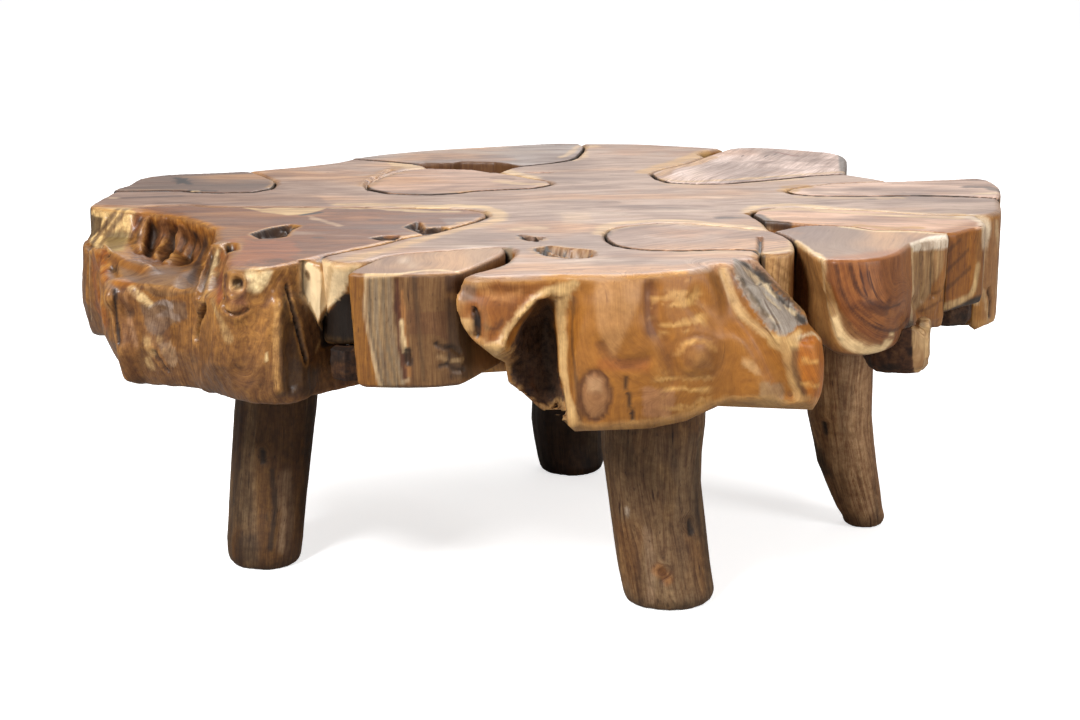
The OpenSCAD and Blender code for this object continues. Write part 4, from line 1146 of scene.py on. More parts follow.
RIGHT_BLOCK_STREAKS = {
    "cream border": ("#F4D49E", 0.97, 12, [(832, 307), (843, 338), (867, 351), (893, 348), (907, 343)]),
    "border up the left": ("#B98F56", 0.8, 7, [(829, 284), (834, 312)]),
    "cream edge": ("#E6C48E", 0.95, 6, [(795, 242), (812, 252), (823, 260), (826, 290)]),
    "first V": ("#5A2F16", 0.8, 3, [(836, 266), (842, 292), (856, 314), (876, 328), (896, 330), (908, 318)]),
    "second V": ("#A8672F", 0.8, 3, [(842, 264), (848, 290), (862, 308), (880, 318), (898, 318), (908, 304)]),
    "third V": ("#4E2814", 0.8, 3, [(850, 264), (856, 286), (868, 300), (884, 308), (900, 304)]),
    "fourth V": ("#9A5C2A", 0.7, 3, [(831, 280), (840, 304), (856, 324), (878, 336), (900, 338)]),
    "line at the right of the heart": ("#E0C090", 0.9, 5, [(912, 250), (913, 290), (910, 334)]),
    "first dark flute": ("#5E4526", 0.8, 4, [(920, 254), (921, 300)]),
    "second dark flute": ("#6A5030", 0.8, 4, [(932, 254), (931, 292)]),
    "first slanting line": ("#7A4A16", 0.7, 3, [(922, 312), (942, 300)]),
    "second slanting line": ("#7A4A16", 0.7, 3, [(930, 298), (943, 288)]),
    "cream seam": ("#EACB98", 0.85, 11, [(846, 226.5), (875, 230.5), (912, 231.5), (948, 234)]),
}
print(len(RIGHT_BLOCK_FIELDS) + len(RIGHT_BLOCK_STREAKS), "fields and streaks colour the right block")

# %% Marks of the other fitted slices
LENS_GROOVES = {"crack": (4, 6, [(760, 237), (759, 264)])}
LENS_FIELDS = {
    "pale side": ("#D9AE74", 0.85, 4, [(757, 254), (796, 244), (797, 306), (775, 292), (757, 268)]),
}
LENS_STREAKS = {
    "crack": ("#2A1A10", 1, 3.5, [(760, 238), (759, 264)]),
    "first line": ("#B08450", 0.7, 3, [(764, 262), (790, 284)]),
    "second line": ("#B08450", 0.7, 3, [(766, 256), (794, 276)]),
    "cream top edge": ("#EBCB98", 0.8, 6, [(757, 253), (780, 252), (794, 248), (792, 240)]),
    "light rim": ("#DDB98A", 0.6, 10, [
        (604, 234), (611, 228.5), (637, 225.5), (675, 224), (715, 227), (755, 231)]),
    "open left tip": ("#5A3A1E", 0.9, 11, [(603, 232), (606, 240)]),
}
STRIP_END = [(930, 232), (976, 222), (980, 296), (914, 325)]
STRIP_FIELDS = {
    "orange end": ("#AE6C1E", 0.85, 5, [(930, 232), (976, 222), (974, 296), (914, 322), (922, 280)]),
    "shade under the cream edge": ("#2A1C10", 0.95, 3, [
        (915, 325), (945, 311), (974, 297), (986, 294), (986, 334), (915, 334)]),
    "pale tip": ("#D9B68C", 0.8, 3, [(745, 217), (768, 215), (776, 222), (772, 231), (752, 226)]),
}
STRIP_STREAKS = {
    "first slanting line": ("#7A4A16", 0.8, 4, [(936, 262), (960, 240)]),
    "second slanting line": ("#7A4A16", 0.8, 4, [(932, 286), (968, 250)]),
    "third slanting line": ("#7A4A16", 0.8, 4, [(932, 302), (970, 268)]),
    "cream lower edge": ("#E2BE84", 0.95, 7, [(917, 318), (945, 307), (971, 294), (978, 267)]),
    # Cream sapwood brightened to white as a painted highlight on the lit corner
    "cream corner with a painted white highlight": ("#F2DFC0", 0.95, 11, [(960, 217), (974, 218), (984, 225), (984, 244)]),
    "cream seam": ("#EBCB9A", 0.85, 11, [(762, 210), (795, 209), (837, 212), (900, 216), (958, 218)]),
    "golden chip": ("#D29E52", 0.95, 12, [(860, 226), (890, 228), (917, 228)], 0.8),
    "brown slot": ("#4A2E18", 0.9, 10, [(758, 215), (772, 224), (786, 226)], 0.6),
}
TONGUE_STREAKS = {
    "golden tip": ("#C8984E", 0.9, 14, [(788, 191), (795, 188), (806, 187)], 0.6),
    "dark far corner": ("#5A4636", 0.85, 14, [(968, 187), (985, 187), (999, 191)], 0.7),
    "cream corner": ("#EBD4AA", 0.9, 7, [(974, 194), (996, 193)], 0.7),
    "dark seam": ("#3A2818", 0.8, 4, [(912, 195.5), (975, 196)]),
}
BACK_RIGHT_FIELDS = {"grey end": ("#5E564C", 0.85, 2, [(838, 154), (848, 156), (848, 174), (840, 174)])}
BACK_RIGHT_STREAKS = {
    "reddish chips": ("#8A4A2E", 0.8, 6, [(775, 152), (795, 156)], 1),
    "crack at the front": ("#2E1E12", 0.95, 5, [(760, 178.5), (780, 176.5), (800, 175.5)], 0.8),
    "cream front seam": ("#E2BD8A", 0.75, 10, [
        (662, 179), (690, 181.5), (750, 178.5), (780, 176), (843, 172)], 0.7),
    "golden left rim": ("#D2A266", 0.85, 14, [(662, 175), (672, 168), (690, 164.5), (712, 157)], 0.6),
}
LOBE_STREAKS = {
    "golden left rim": ("#C0925A", 0.85, 12, [(369, 187), (373, 181), (384, 176), (398, 171)], 0.8),
    "dark lower rim": ("#3A2614", 0.8, 4, [(369, 188), (380, 191), (410, 193.4), (434, 194), (456, 192.6)]),
    "gold in the lower rim": ("#C99A5C", 0.9, 6, [(450, 192.4), (470, 191)], 0.8),
    "chips at the right": ("#7A5230", 0.9, 7, [(492, 178), (512, 179)], 1),
    "cream right": ("#E6C696", 0.8, 14, [(500, 181), (522, 184), (542, 184)], 0.6),
}
LEFT_BACK_STREAKS = {
    "star crack": ("#2E2018", 0.9, 7, [(177, 178), (182, 181), (189, 184)], 0.8),
    "star crack's second arm": ("#2E2018", 0.9, 5, [(186, 178.5), (182, 181), (178, 184)], 0.8),
    "star crack's third arm": ("#2E2018", 0.9, 4, [(174, 181), (190, 181)], 0.8),
    "chip at the tip": ("#C29A66", 0.85, 8, [(270, 187), (275, 183), (280, 180.5)], 0.8),
    "open slit": ("#1C120A", 0.95, 5, [(190, 190.5), (216, 191)], 0.6),
    "cream bit": ("#EBD2A6", 1, 4, [(193, 191), (198, 191)]),
    "pale front rim": ("#B89878", 0.6, 5, [(116, 189.5), (150, 189.5), (186, 189.5)], 0.7),
}
BACK_FIELDS = {
    "broken wall": ("#7A5430", 0.8, 1, [
        (424, 162), (450, 162.5), (460, 160.6), (484, 161), (506, 162.6), (518, 166), (500, 172),
        (474, 170), (432, 168.6)], 0.9),
}
BACK_STREAKS = {"cream end": ("#E2C49A", 0.7, 8, [(560, 158), (570, 153), (578, 146)], 0.7)}
print(len(STRIP_STREAKS), "streaks colour the strip, and", len(LOBE_STREAKS), "the lobe")

# %% The fitted slices
# Each has the heading of its grain, the colours of its top and its sides, and its grooves, fields and streaks
SLICE_SKIN = 2.5
SLICES = {
    "left_back_infill": (5, "#7E6658", "#7A5433", {}, {}, LEFT_BACK_STREAKS),
    "lobe_infill": (8, "#D4AE94", "#7A5433", {}, {}, LOBE_STREAKS),
    "back_infill": (12, "#AD9F98", "#7A5433", {}, BACK_FIELDS, BACK_STREAKS),
    "back_right_infill": (65, "#ECD4C9", "#7A5433", {}, BACK_RIGHT_FIELDS, BACK_RIGHT_STREAKS),
    "right_back_infill": (3, "#E8C6B0", "#8A5F38", {}, {}, TONGUE_STREAKS),
    "right_strip_infill": (-6, "#ECC0A0", "#A8702F", {}, STRIP_FIELDS, STRIP_STREAKS),
    "front_left_block": (84, "#AE8660", "#8A643C", BLOCK_GROOVES, BLOCK_FIELDS, BLOCK_STREAKS),
    "right_block": (75, "#8E6E56", "#AC7A48", RIGHT_BLOCK_GROOVES, RIGHT_BLOCK_FIELDS, RIGHT_BLOCK_STREAKS),
    "front_lens_infill": (30, "#BB9C88", "#C08E56", LENS_GROOVES, LENS_FIELDS, LENS_STREAKS),
}
for node, (heading, top, side, grooves, fields, streaks) in SLICES.items():
    bench = first_coat(Bench(rough_out(node, "carved_" + node, SLICE_SKIN)), node, heading, top, side)
    carve(bench, grooves=grooves)
    if node == "right_block":
        follow(bench, RIGHT_V, 75)
    if node == "right_strip_infill":
        bench.seam *= 1 - within(bench, STRIP_END, 8, all_sides=True)
    if node in ("front_left_block", "right_block"):
        bench.grain *= 1 - 0.6 * bench.up
    colour_in(bench, fields, streaks)
    finish_piece(bench, sanded_teak)

# %% [markdown]
# The main slice ends at the front in a great lobe: a curled lip with a cream rim, a charred hollow, a burl
# and an eye in golden wood, and a short diagonal root with a grey weathered back.

# %% Marks of the main slice: forms
CHAR = [(540, 304), (552, 305), (556, 336), (558, 368), (566, 400), (568, 420), (552, 426), (530, 416),
        (518, 400), (510, 376), (508, 352), (520, 326), (530, 310)]
EYE = [(595, 371), (606, 378), (610, 396), (605, 414), (595, 421), (585, 414), (580, 396), (584, 378),
       (595, 371)]
BURL_RING = [(671, 358), (678, 344), (696, 337), (716, 342), (724, 357), (716, 372), (697, 378),
             (680, 372), (671, 358)]
BURL_HEART = [(684, 357), (690, 348), (701, 347), (709, 355), (704, 365), (692, 366), (684, 357)]
GREY_BACK = [(733, 258), (747, 262), (775, 290), (811, 322), (797, 326), (785, 338), (771, 330),
             (761, 320), (745, 296), (735, 276)]
ROOT_GROOVE = [(722, 272), (729, 290), (741, 316), (762, 342), (776, 370), (789, 394)]
CURL = [(464, 290), (500, 287), (540, 290), (520, 312), (502, 335), (492, 350), (476, 344), (462, 322)]
SLOT = [(536, 249), (550, 246.5), (570, 249), (590, 251.5), (588, 256), (570, 258), (545, 255)]
VOID = [(521, 235), (533, 238), (543, 237), (536, 241), (526, 240)]
BURNT_AND_SHADED = [(318, 322), (346, 292), (356, 296), (356, 350), (318, 372)]
LOBE_FACE = [(576, 280), (724, 270), (760, 340), (780, 400), (700, 424), (578, 432)]
TAN_FLOW = [(594, 292), (598, 336), (620, 364), (654, 372)]
BURL_FLOW = [(650, 278), (652, 318), (664, 344)]
BURL_CREASE = [(651, 290), (652, 318), (662, 338), (667, 356), (674, 382)]
TAN_CREASE = [(600, 346), (612, 358), (630, 364), (648, 358)]
CURL_SPLIT = [(474, 310), (477, 322), (476, 336)]
LOBE_CRACK = [(625, 378), (629, 398), (633, 420)]
LOBE_SLIT = [(527, 172.5), (549, 172.5)]
BRANCH_NOTCH = [(989, 290), (991, 304), (990, 318)]
DEEP_SLAB_HOLLOWS = {
    "charred hollow": (16, (6, 24, 10), CHAR),
    "inside of the curl": (14, (2, 11, -2), CURL),
}
DEEP_SLAB_GROOVES = {
    "cream rib": (11, -9, [(566, 290), (560, 306), (562, 336), (564, 368), (570, 410), (574, 426)]),
    "rim of the curl": (9, -5, [
        (452, 300), (452, 320), (470, 344), (486, 362), (500, 350), (510, 326), (532, 302), (560, 290)]),
    "burl": (34, -8, [(697, 356)]),
    "swell of the tan panel": (34, -6, [(616, 300), (616, 324)]),
    "crease left of the burl": (13, 5, BURL_CREASE),
    "crease under the tan panel": (12, 4, TAN_CREASE),
    "groove beside the diagonal root": (22, 15, ROOT_GROOVE),
    "ridge of the diagonal root": (12, -9, [(747, 260), (775, 290), (801, 317)]),
    "hollow under the lens": (22, 6, [(700, 300), (724, 320)]),
}
FINE_SLAB_GROOVES = {
    "split in the curl": (5, 9, CURL_SPLIT, 2),
    "crack under the lobe": (3.5, 4, LOBE_CRACK, 1),
    "ring of the eye": (4.5, 2.5, EYE),
    "ring of the burl": (6, 1.5, BURL_RING, 3),
    "slit by the lobe": (5, 6, LOBE_SLIT),
    "chip on the root's end": (6, 4, [(803, 340), (813, 340)]),
    "notch in the branch end": (5, 9, BRANCH_NOTCH),
    "crack in the grey back": (4, 4, [(752, 276), (770, 298), (780, 308)], 2),
    "worn left rim of the lobe": (5, 4, [(366, 187), (370, 180), (380, 175), (390, 170)], 3),
    "broken tip of the strip": (6, 5, [(748, 214), (760, 219), (772, 226)], 3),
    "crack at the back right": (4, 4, [(760, 179.5), (780, 178), (800, 177)], 2),
}
print(len(DEEP_SLAB_GROOVES) + len(FINE_SLAB_GROOVES), "grooves and ridges shape the main slice")

# %% Marks of the main slice: colours
SLAB_FIELDS = {
    "left arm": ("#977867", 0.75, 4, [(88, 204), (113, 191), (260, 191), (320, 197), (330, 206), (243, 206)]),
    "left end": ("#B07C42", 0.8, 2, [(78, 206), (90, 206), (90, 328), (78, 328)]),
    "tan cloud": ("#E8C8A0", 0.5, 8, [(562, 214), (588, 213), (592, 220), (564, 223)]),
    "curl": ("#96581F", 0.8, 6, [
        (462, 284), (500, 282), (560, 286), (530, 302), (508, 326), (498, 348), (478, 350), (458, 322)]),
    "cream tip of the curl": ("#EBC88C", 0.9, 4, [
        (480, 346), (500, 340), (503, 350), (494, 362), (484, 362)]),
    "cream patch in the curl": ("#DDB67C", 0.85, 4, [(458, 318), (472, 318), (474, 336), (464, 336)]),
    # Char in the hollow, and painted shade where the curl's rim overhangs it
    "charred hollow": ("#523A28", 0.96, 5, CHAR, 0.35),
    "tan panel": ("#CB9860", 0.6, 7, [
        (595, 278), (643, 278), (640, 300), (613, 362), (598, 330), (594, 300)]),
    "dark band": ("#744218", 0.8, 6, [(643, 278), (657, 278), (656, 336), (645, 336)]),
    "orange band": ("#A65E24", 0.6, 5, [(597, 359), (649, 359), (649, 371), (597, 371)]),
    "eye": ("#A6754A", 0.9, 6, EYE),
    "light in the eye": ("#C79C70", 0.7, 6, [(588, 378), (602, 378), (602, 392), (588, 392)]),
    "pinkish patch": ("#BE8C68", 0.5, 9, [(641, 386), (675, 390), (672, 420), (645, 416)], 0.5),
    "heart of the burl": ("#B8854E", 0.5, 9, [(684, 346), (711, 346), (712, 368), (686, 368)]),
    "grey back": ("#A8A298", 0.92, 3, GREY_BACK, 0.3),
    "golden patch": ("#E4BE7E", 0.9, 4, [
        (763, 330), (785, 338), (801, 328), (803, 348), (785, 354), (770, 346)]),
    "orange end": ("#C4741A", 0.95, 3, [
        (799, 342), (813, 333), (826, 340), (828, 364), (826, 402), (809, 408), (801, 384), (795, 362)]),
    "grey-tan foot": ("#A48C6A", 0.6, 12, [(761, 384), (783, 382), (785, 404), (761, 402)], 0.8),
    "shade over the curl": ("#7A7468", 0.5, 5, [(460, 284), (478, 282), (474, 300), (462, 302)]),
    "wedge": ("#FFE4B4", 0.97, 3, WEDGE),
    # The wedge's burnt side, and painted shade over the dark space beneath it
    "burnt side of the wedge with painted shade beneath": ("#1E140C", 0.95, 4, BURNT_AND_SHADED, 0.3),
    "cream wedge at the back": ("#EBCB9A", 0.85, 2, [
        (386, 162), (410, 163), (432, 168), (416, 169.6), (396, 168)]),
    "branch end": ("#B8895A", 0.75, 4, [(983, 222), (1002, 218), (1002, 328), (983, 328)]),
    "grey notch wall": ("#8C836E", 0.8, 2, [(486, 256), (512, 246), (513, 262), (496, 270)]),
}
SLAB_STREAKS = {
    "cream band at the left root": ("#EBCB98", 0.95, 15, [
        (340, 204.5), (388, 205), (426, 206.4), (458, 206), (484, 207.6), (500, 214), (496, 220.5)], 0.5),
    "cream band along its lower side": ("#E2BC88", 0.85, 14, [
        (496, 220.5), (478, 225), (450, 231), (426, 238), (400, 246), (374, 253), (344, 261)], 0.6),
    "dark streak in the left arm": ("#5E463A", 0.7, 8, [(118, 198), (150, 197), (180, 196)], 0.6),
    "second dark streak": ("#6E5344", 0.6, 7, [(160, 203), (200, 203)], 0.8),
    "cream dash": ("#EAD2AC", 0.9, 5, [(111, 198), (117, 198)]),
    "cream back end": ("#E6C698", 0.8, 15, [(592, 146), (586, 149), (580, 156), (572, 160)], 0.6),
    "golden left rim": ("#BD8C50", 0.85, 13, [(364, 187), (368, 179), (379, 173.5), (396, 167.5)], 0.8),
    "cream at the lobe's right": ("#E6C696", 0.85, 17, [(498, 170), (515, 173.5), (534, 179)], 0.6),
    "slit by the lobe": ("#5A3A20", 0.9, 5, LOBE_SLIT, 0.5),
    "cream by the V void": ("#E8C89C", 0.7, 12, [(516, 229), (540, 228)], 0.8),
    "cream back right seam": ("#DDB272", 0.9, 18, [(643, 172), (660, 166.5), (683, 160), (704, 153)], 0.5),
    "dark back right crack": ("#2A1B10", 0.95, 5, [(760, 180), (780, 178.6), (800, 177.4)], 0.7),
    "thin cream back right": ("#E6C496", 0.7, 9, [(662, 183), (690, 185), (750, 182.4), (800, 179)], 0.7),
    "golden tongue tip": ("#C8984E", 0.9, 13, [(784, 192), (790, 187), (804, 185.5)], 0.7),
    "cream tongue seam": ("#E4C294", 0.7, 11, [(800, 197), (840, 198), (900, 198)], 0.8),
    "cream strip seam": ("#EBCB9A", 0.9, 13, [
        (746, 212), (760, 206.5), (795, 205), (837, 208.5), (900, 212.5), (960, 215)], 0.5),
    "golden broken tip": ("#B98A50", 0.85, 15, [(748, 213), (760, 219), (774, 228)], 0.9),
    "brown crumb": ("#5A3A1E", 0.9, 10, [(722, 218), (740, 218)], 1),
    "second crumb": ("#7A5434", 0.8, 8, [(604, 202), (616, 202)], 1),
    "third crumb": ("#5A3A1E", 0.9, 7, [(868, 199), (873, 199)]),
    "cream round the lens": ("#E8C694", 0.85, 14, [
        (600, 234), (608, 225.5), (637, 222), (675, 220.5), (715, 224), (755, 228), (782, 232)], 0.5),
    "cream under the lens": ("#DDB98A", 0.6, 10, [
        (606, 241), (632, 249), (675, 251.5), (715, 251.5), (752, 254)], 0.7),
    "warm front of the top": ("#DDA672", 0.55, 16, [(560, 272), (610, 271), (660, 269), (716, 263)], 0.6),
    # A painted golden highlight along the lobe's rim
    "painted highlight on the lobe's rim": ("#E2A552", 0.8, 6, [(545, 277), (595, 275), (631, 275.6), (685, 272)]),
    "rim of the curl": ("#E6C184", 0.97, 7, [
        (461, 281), (450, 300), (450, 314), (455, 326), (470, 344), (478, 359), (486, 364), (496, 360),
        (504, 344), (508, 330), (528, 306), (540, 294), (564, 288), (574, 284)]),
    "cream rib": ("#E2BA7C", 0.97, 9, [
        (568, 288), (561, 306), (562, 336), (564, 368), (570, 410), (574, 428)]),
    "dark line beside the rib": ("#5A361A", 0.7, 4, [(574, 300), (572, 340), (576, 380), (581, 424)]),
    "split in the curl": ("#1E120A", 1, 4.5, CURL_SPLIT, 0.7),
    "first knot in the curl": ("#6A4020", 0.9, 4, [(456, 315), (458, 317)]),
    "second knot in the curl": ("#6A4020", 0.9, 4, [(469, 331), (471, 333)]),
    "light in the curl": ("#C98E50", 0.7, 8, [(484, 290), (500, 298), (520, 292)], 0.8),
    "dark arc in the curl": ("#5A3214", 0.7, 4, [(484, 326), (494, 330), (502, 322)], 0.4),
    "brown fleck in the char": ("#6A4426", 0.9, 5, [(531, 374), (533, 388)], 0.5),
    "knot at the foot of the char": ("#6E5638", 0.9, 6, [(560, 416), (566, 421)], 0.5),
    "grey light in the char": ("#4C4036", 0.6, 5, [(542, 310), (546, 350), (552, 390)], 1),
    "crack under the lobe": ("#3A2414", 0.85, 2.6, LOBE_CRACK),
    "ring of the eye": ("#6A3F1E", 0.9, 4, EYE),
    "ring of the burl": ("#96602A", 0.45, 6, BURL_RING, 1.3),
    "ring of its heart": ("#8A5222", 0.5, 4.5, BURL_HEART, 1.3),
    "light round its heart": ("#D9A45C", 0.6, 4, [(678, 354), (688, 342), (704, 341), (716, 350)], 1),
    "crease left of the burl": ("#8A5424", 0.55, 9, BURL_CREASE, 0.8),
    "crease under the tan panel": ("#7E4A20", 0.6, 7, TAN_CREASE, 0.8),
    "pale swirl": ("#D9AC74", 0.8, 6, [(745, 362), (752, 366), (757, 372)], 0.5),
    "cream band down the root": ("#E2BC82", 0.9, 8, [(724, 272), (730, 292), (741, 312), (764, 332)]),
    "cream line in the grey": ("#D8C4A0", 0.8, 4, [(744, 268), (762, 290), (780, 308)], 1),
    "second cream line in the grey": ("#D8C4A0", 0.8, 4, [(750, 294), (764, 312), (780, 324)], 1),
    "dark line in the grey": ("#2E2A28", 0.85, 7, [(742, 262), (756, 274), (778, 298), (802, 320)], 1.3),
    "second dark line in the grey": ("#3A3430", 0.8, 5, [(742, 280), (758, 304), (776, 328)], 1.3),
    "dark edge of the grey": ("#3A322A", 0.8, 4, [(754, 266), (780, 290), (806, 314)], 1),
    "first fleck in the grey": ("#E6D2AC", 0.9, 5, [(750, 272), (758, 281)], 1),
    "second fleck in the grey": ("#E6D2AC", 0.9, 5, [(765, 286), (774, 296)], 1),
    "third fleck in the grey": ("#E6D2AC", 0.9, 5, [(784, 306), (794, 314)], 1),
    "stem": ("#D9AE70", 0.85, 8, [(785, 346), (789, 368), (799, 398)]),
    "shade beside the stem": ("#6A4A2C", 0.7, 6, [(794, 350), (796, 372), (806, 398)]),
    "cream edge of the end": ("#E6CBA0", 0.8, 3, [(800, 338), (813, 333), (824, 337)], 0.5),
    "first glint": ("#F0BC68", 0.7, 4, [(803, 360), (818, 362)], 0.8),
    "second glint": ("#F0BC68", 0.7, 4, [(803, 384), (818, 386)], 0.8),
    # Cream sapwood, with a painted highlight where the corner is lit
    "cream corner of the branch": ("#F2DFC0", 0.95, 9, [(972, 217), (986, 224), (984, 246)]),
    "cream line down the branch": ("#E6C898", 0.9, 6, [(984, 250), (980, 276), (976, 302)]),
    "specks": ("#DDBE90", 0.8, 4, [(997, 222), (998, 256), (996, 292)], 1.3),
    "notch": ("#20140B", 1, 5, BRANCH_NOTCH),
    "cream beside the notch": ("#D9B98A", 0.8, 3, [(984, 290), (986, 306), (989, 322)]),
    "shade in the wedge": ("#C8A068", 0.4, 5, [(330, 270), (328, 290), (323, 312)], 0.6),
}
SLAB_RINGS = {"burl": (62, 0.65, (697, 357)), "knot in the curl": (30, 0.3, (492, 308)),
              "pale swirl": (14, 0.4, (751, 367)), "eye": (24, 0.8, (595, 396))}
GOLDEN_DASHES = [[(649, 282), (690, 278), (704, 300), (706, 346), (670, 344), (650, 330)],
                 [(656, 372), (690, 380), (712, 372), (708, 404), (668, 414), (654, 396)]]
print(len(SLAB_FIELDS) + len(SLAB_STREAKS), "fields and streaks colour the main slice")

# %% [markdown]
# The slab is the largest piece, so its skin is coarser than the others', and its underside is thinned. The
# lobe at its front is carved before the last skin is made, so that steep walls keep as many points as flat
# ones.

# %% The main slice: carved
SLAB_SKINS = (4.5, 4.15)
UNDERSIDE_SHARE = 0.7

bench = Bench(rough_out("root_slab", "carved_root_slab", SLAB_SKINS[0]))
carve(bench, DEEP_SLAB_HOLLOWS, DEEP_SLAB_GROOVES)
bench = new_skin(bench, SLAB_SKINS[1], UNDERSIDE_SHARE)
carve(bench, grooves=FINE_SLAB_GROOVES)
charred = within(bench, CHAR, 6)
roughen(bench, 4, (12, 12, 34), 8, charred)
pit(bench, SLOT, 1, 34, "#74787A")
# The void is painted near black inside, as shade
pit(bench, VOID, 1, 16)
print("the main slice has", len(bench.at), "points")

# %% The main slice: stained
bench = first_coat(bench, "root_slab", 8, "#C0A491", "#AC6F26")
bench.figure += 14 * rough_noise(bench.at, (90, 90, 80), 41) * fade(bench.up, 0.1, 0)
bench.seam *= 1 - within(bench, WEDGE, 8, all_sides=True)
bench.matt = np.maximum.reduce([bench.matt, charred, within(bench, GREY_BACK, 3), within(bench, BURNT_AND_SHADED, 3)])
bench.grain *= (1 - 0.5 * charred) * (0.65 + 0.35 * bench.up)
bench.rough = np.maximum(bench.rough, charred)
bench.grain *= 1 - 0.35 * within(bench, LOBE_FACE, 20)
for flow, reach in ((ROOT_GROOVE, 46), (TAN_FLOW, 40), (BURL_FLOW, 30)):
    follow(bench, flow, reach, 0.8)
colour_in(bench, SLAB_FIELDS, SLAB_STREAKS, SLAB_RINGS)
wavy = bench.at + 3 * noise(bench.at, 26)[:, None]
dashed = fade(rough_noise(wavy, (40, 40, 4.5), 21), 0.35, 0.05)
for dashes in GOLDEN_DASHES:
    paint(bench, "#E6B468", dashed * within(bench, dashes, 12), 0.85)
# Painted shade in the slice's hollows and painted highlight on its ridges and edges
paint_shade_and_highlight(bench, "#5A3A1A", "#DDAE6C", 0.5, 0.1, 0.6)
# Near-black clouds over the burnt side and the painted shade beneath it
cloud(bench, "#1E140C", 0.85, (9, 9, 40), 12, 0.1, 0.6, within(bench, BURNT_AND_SHADED, 4))
cloud(bench, "#6A5238", 0.75, (6, 6, 20), 31, 0.65, 0.3, charred)
finish_piece(bench, sanded_teak)

# %% [markdown]
# The legs are peeled branches, dull and weathered. Their grain runs down their length, so it is measured
# round them, from the front both ways, and bent round each knot. A turned cylinder would be quicker, but a
# branch wanders and has flutes, and its round is never true.

# %% A peeled branch
LEG_SKIN = 3
HEART_STEPS = np.arange(0, 301, 15)
AROUND = 48


def from_heart(bench):
    """How far each point is from the heart of a branch, along x and along y, as the heart wanders upward."""
    height = bench.at[:, 2]
    heart = np.array([np.average(bench.at[:, :2], axis=0, weights=np.exp(-((height - z) / 12) ** 2))
                      for z in HEART_STEPS])
    return (bench.at[:, 0] - np.interp(height, HEART_STEPS, heart[:, 0]),
            bench.at[:, 1] - np.interp(height, HEART_STEPS, heart[:, 1]))


def branch(node, colour, dark, knots):
    """A leg as a peeled branch: shallow flutes along it, stains that run down, painted shadow under the top,
    and knots at some marks.
    """
    bench = Bench(rough_out(node, "peeled_" + node, LEG_SKIN))
    height = bench.at[:, 2]
    out_x, out_y = from_heart(bench)
    angle = np.abs(np.arctan2(out_x, -out_y))
    bench.figure = angle * AROUND + 9 * rough_noise(bench.at, (60, 60, 130), 3)
    flutes = rough_noise(bench.at, (26, 26, 190), 12)
    bench.move = bench.out * (1.6 * flutes - 0.4)[:, None] * fade(bench.out[:, 2], 0.5, 0.8)[:, None]
    bench.stain[:] = from_hex(colour)[:3]
    paint(bench, "#A8906C", fade(-flutes, 0.5, 0.05), 0.4)
    cloud(bench, dark, 0.6, (30, 30, 110), 14, 0.55, 0.1)
    cloud(bench, "#A87A42", 0.5, (45, 45, 90), 17, 0.5, 0.1)
    cloud(bench, dark, 0.6, (14, 14, 26), 27, 0.75, 0.45)
    # Painted shadow of the top over the upper part of the leg
    paint(bench, dark, fade(height, 300, 215), 0.75)
    # Darker towards the foot
    paint(bench, dark, fade(height, 6, 22), 0.4)
    bench.rough[:] = 0.5
    for reach, mark in knots.values():
        below = (mark[0] + 1, mark[1] + 9)
        rings(bench, mark, reach)
        streak(bench, dark, [mark, below], reach * 0.45, 0.9)
        push(bench, [mark, below], reach * 0.5, 3)
    return bench


print("the heart of a branch is found at", len(HEART_STEPS), "heights")

# %% Marks of the legs
# A knot is: reach in millimetres, mark
FRONT_LEG_KNOTS = {"upper knot": (16, (690, 522)), "lower knot": (14, (662, 572))}
FRONT_LEG_STREAKS = {
    "light line": ("#A98F70", 0.8, 8, [(646, 530), (650, 560), (650, 600)]),
    "light under the top": ("#A98A5E", 0.7, 9, [(664, 468), (672, 490), (668, 515)]),
    "orange below the knot": ("#B07A42", 0.7, 10, [(658, 570), (668, 580)]),
    "pale fleck": ("#DCD0BC", 0.8, 5, [(627, 510), (627, 514)]),
}
LEFT_LEG_KNOTS = {"knot": (14, (262, 452))}
LEFT_LEG_STREAKS = {
    # A painted highlight on the leg's lit right edge, and a dark line of painted shade just inside it
    "painted highlight on the lit right edge": ("#8C7256", 0.9, 14, [(284, 475), (287, 510), (284, 545)]),
    "dark line": ("#33241A", 0.8, 5, [(272, 470), (275, 510), (270, 548)]),
}
LEFT_LEG_FIELDS = {"dark foot": ("#3A2818", 0.7, 8, [(235, 536), (256, 534), (258, 562), (236, 562)])}
RIGHT_LEG_KNOTS = {"knot": (12, (824, 424))}
RIGHT_LEG_FIELDS = {
    # Painted shade on the leg's unlit upper left edge
    "dark edge": ("#2E2014", 0.7, 6, [(805, 430), (822, 452), (834, 478), (822, 474), (810, 455)]),
}
print(len(FRONT_LEG_KNOTS) + len(LEFT_LEG_KNOTS) + len(RIGHT_LEG_KNOTS), "knots show on the legs")

# %% Legs
# Each has the colour of its wood, that of its dark places and painted shadow, and its knots, streaks and
# fields
LEGS = {
    "leg_front": ("#8E7250", "#33241A", FRONT_LEG_KNOTS, FRONT_LEG_STREAKS, {}),
    "leg_left": ("#704E26", "#2A1B10", LEFT_LEG_KNOTS, LEFT_LEG_STREAKS, LEFT_LEG_FIELDS),
    "leg_right": ("#CCA478", "#33241A", RIGHT_LEG_KNOTS, {}, RIGHT_LEG_FIELDS),
    # The back leg stands under the top, and its dark colours are partly painted shade
    "leg_back": ("#46301E", "#20160E", {}, {}, {}),
}
for node, (colour, dark, knots, streaks, fields) in LEGS.items():
    bench = branch(node, colour, dark, knots)
    colour_in(bench, streaks=streaks)
    colour_in(bench, fields)
    finish_piece(bench, dry_teak)

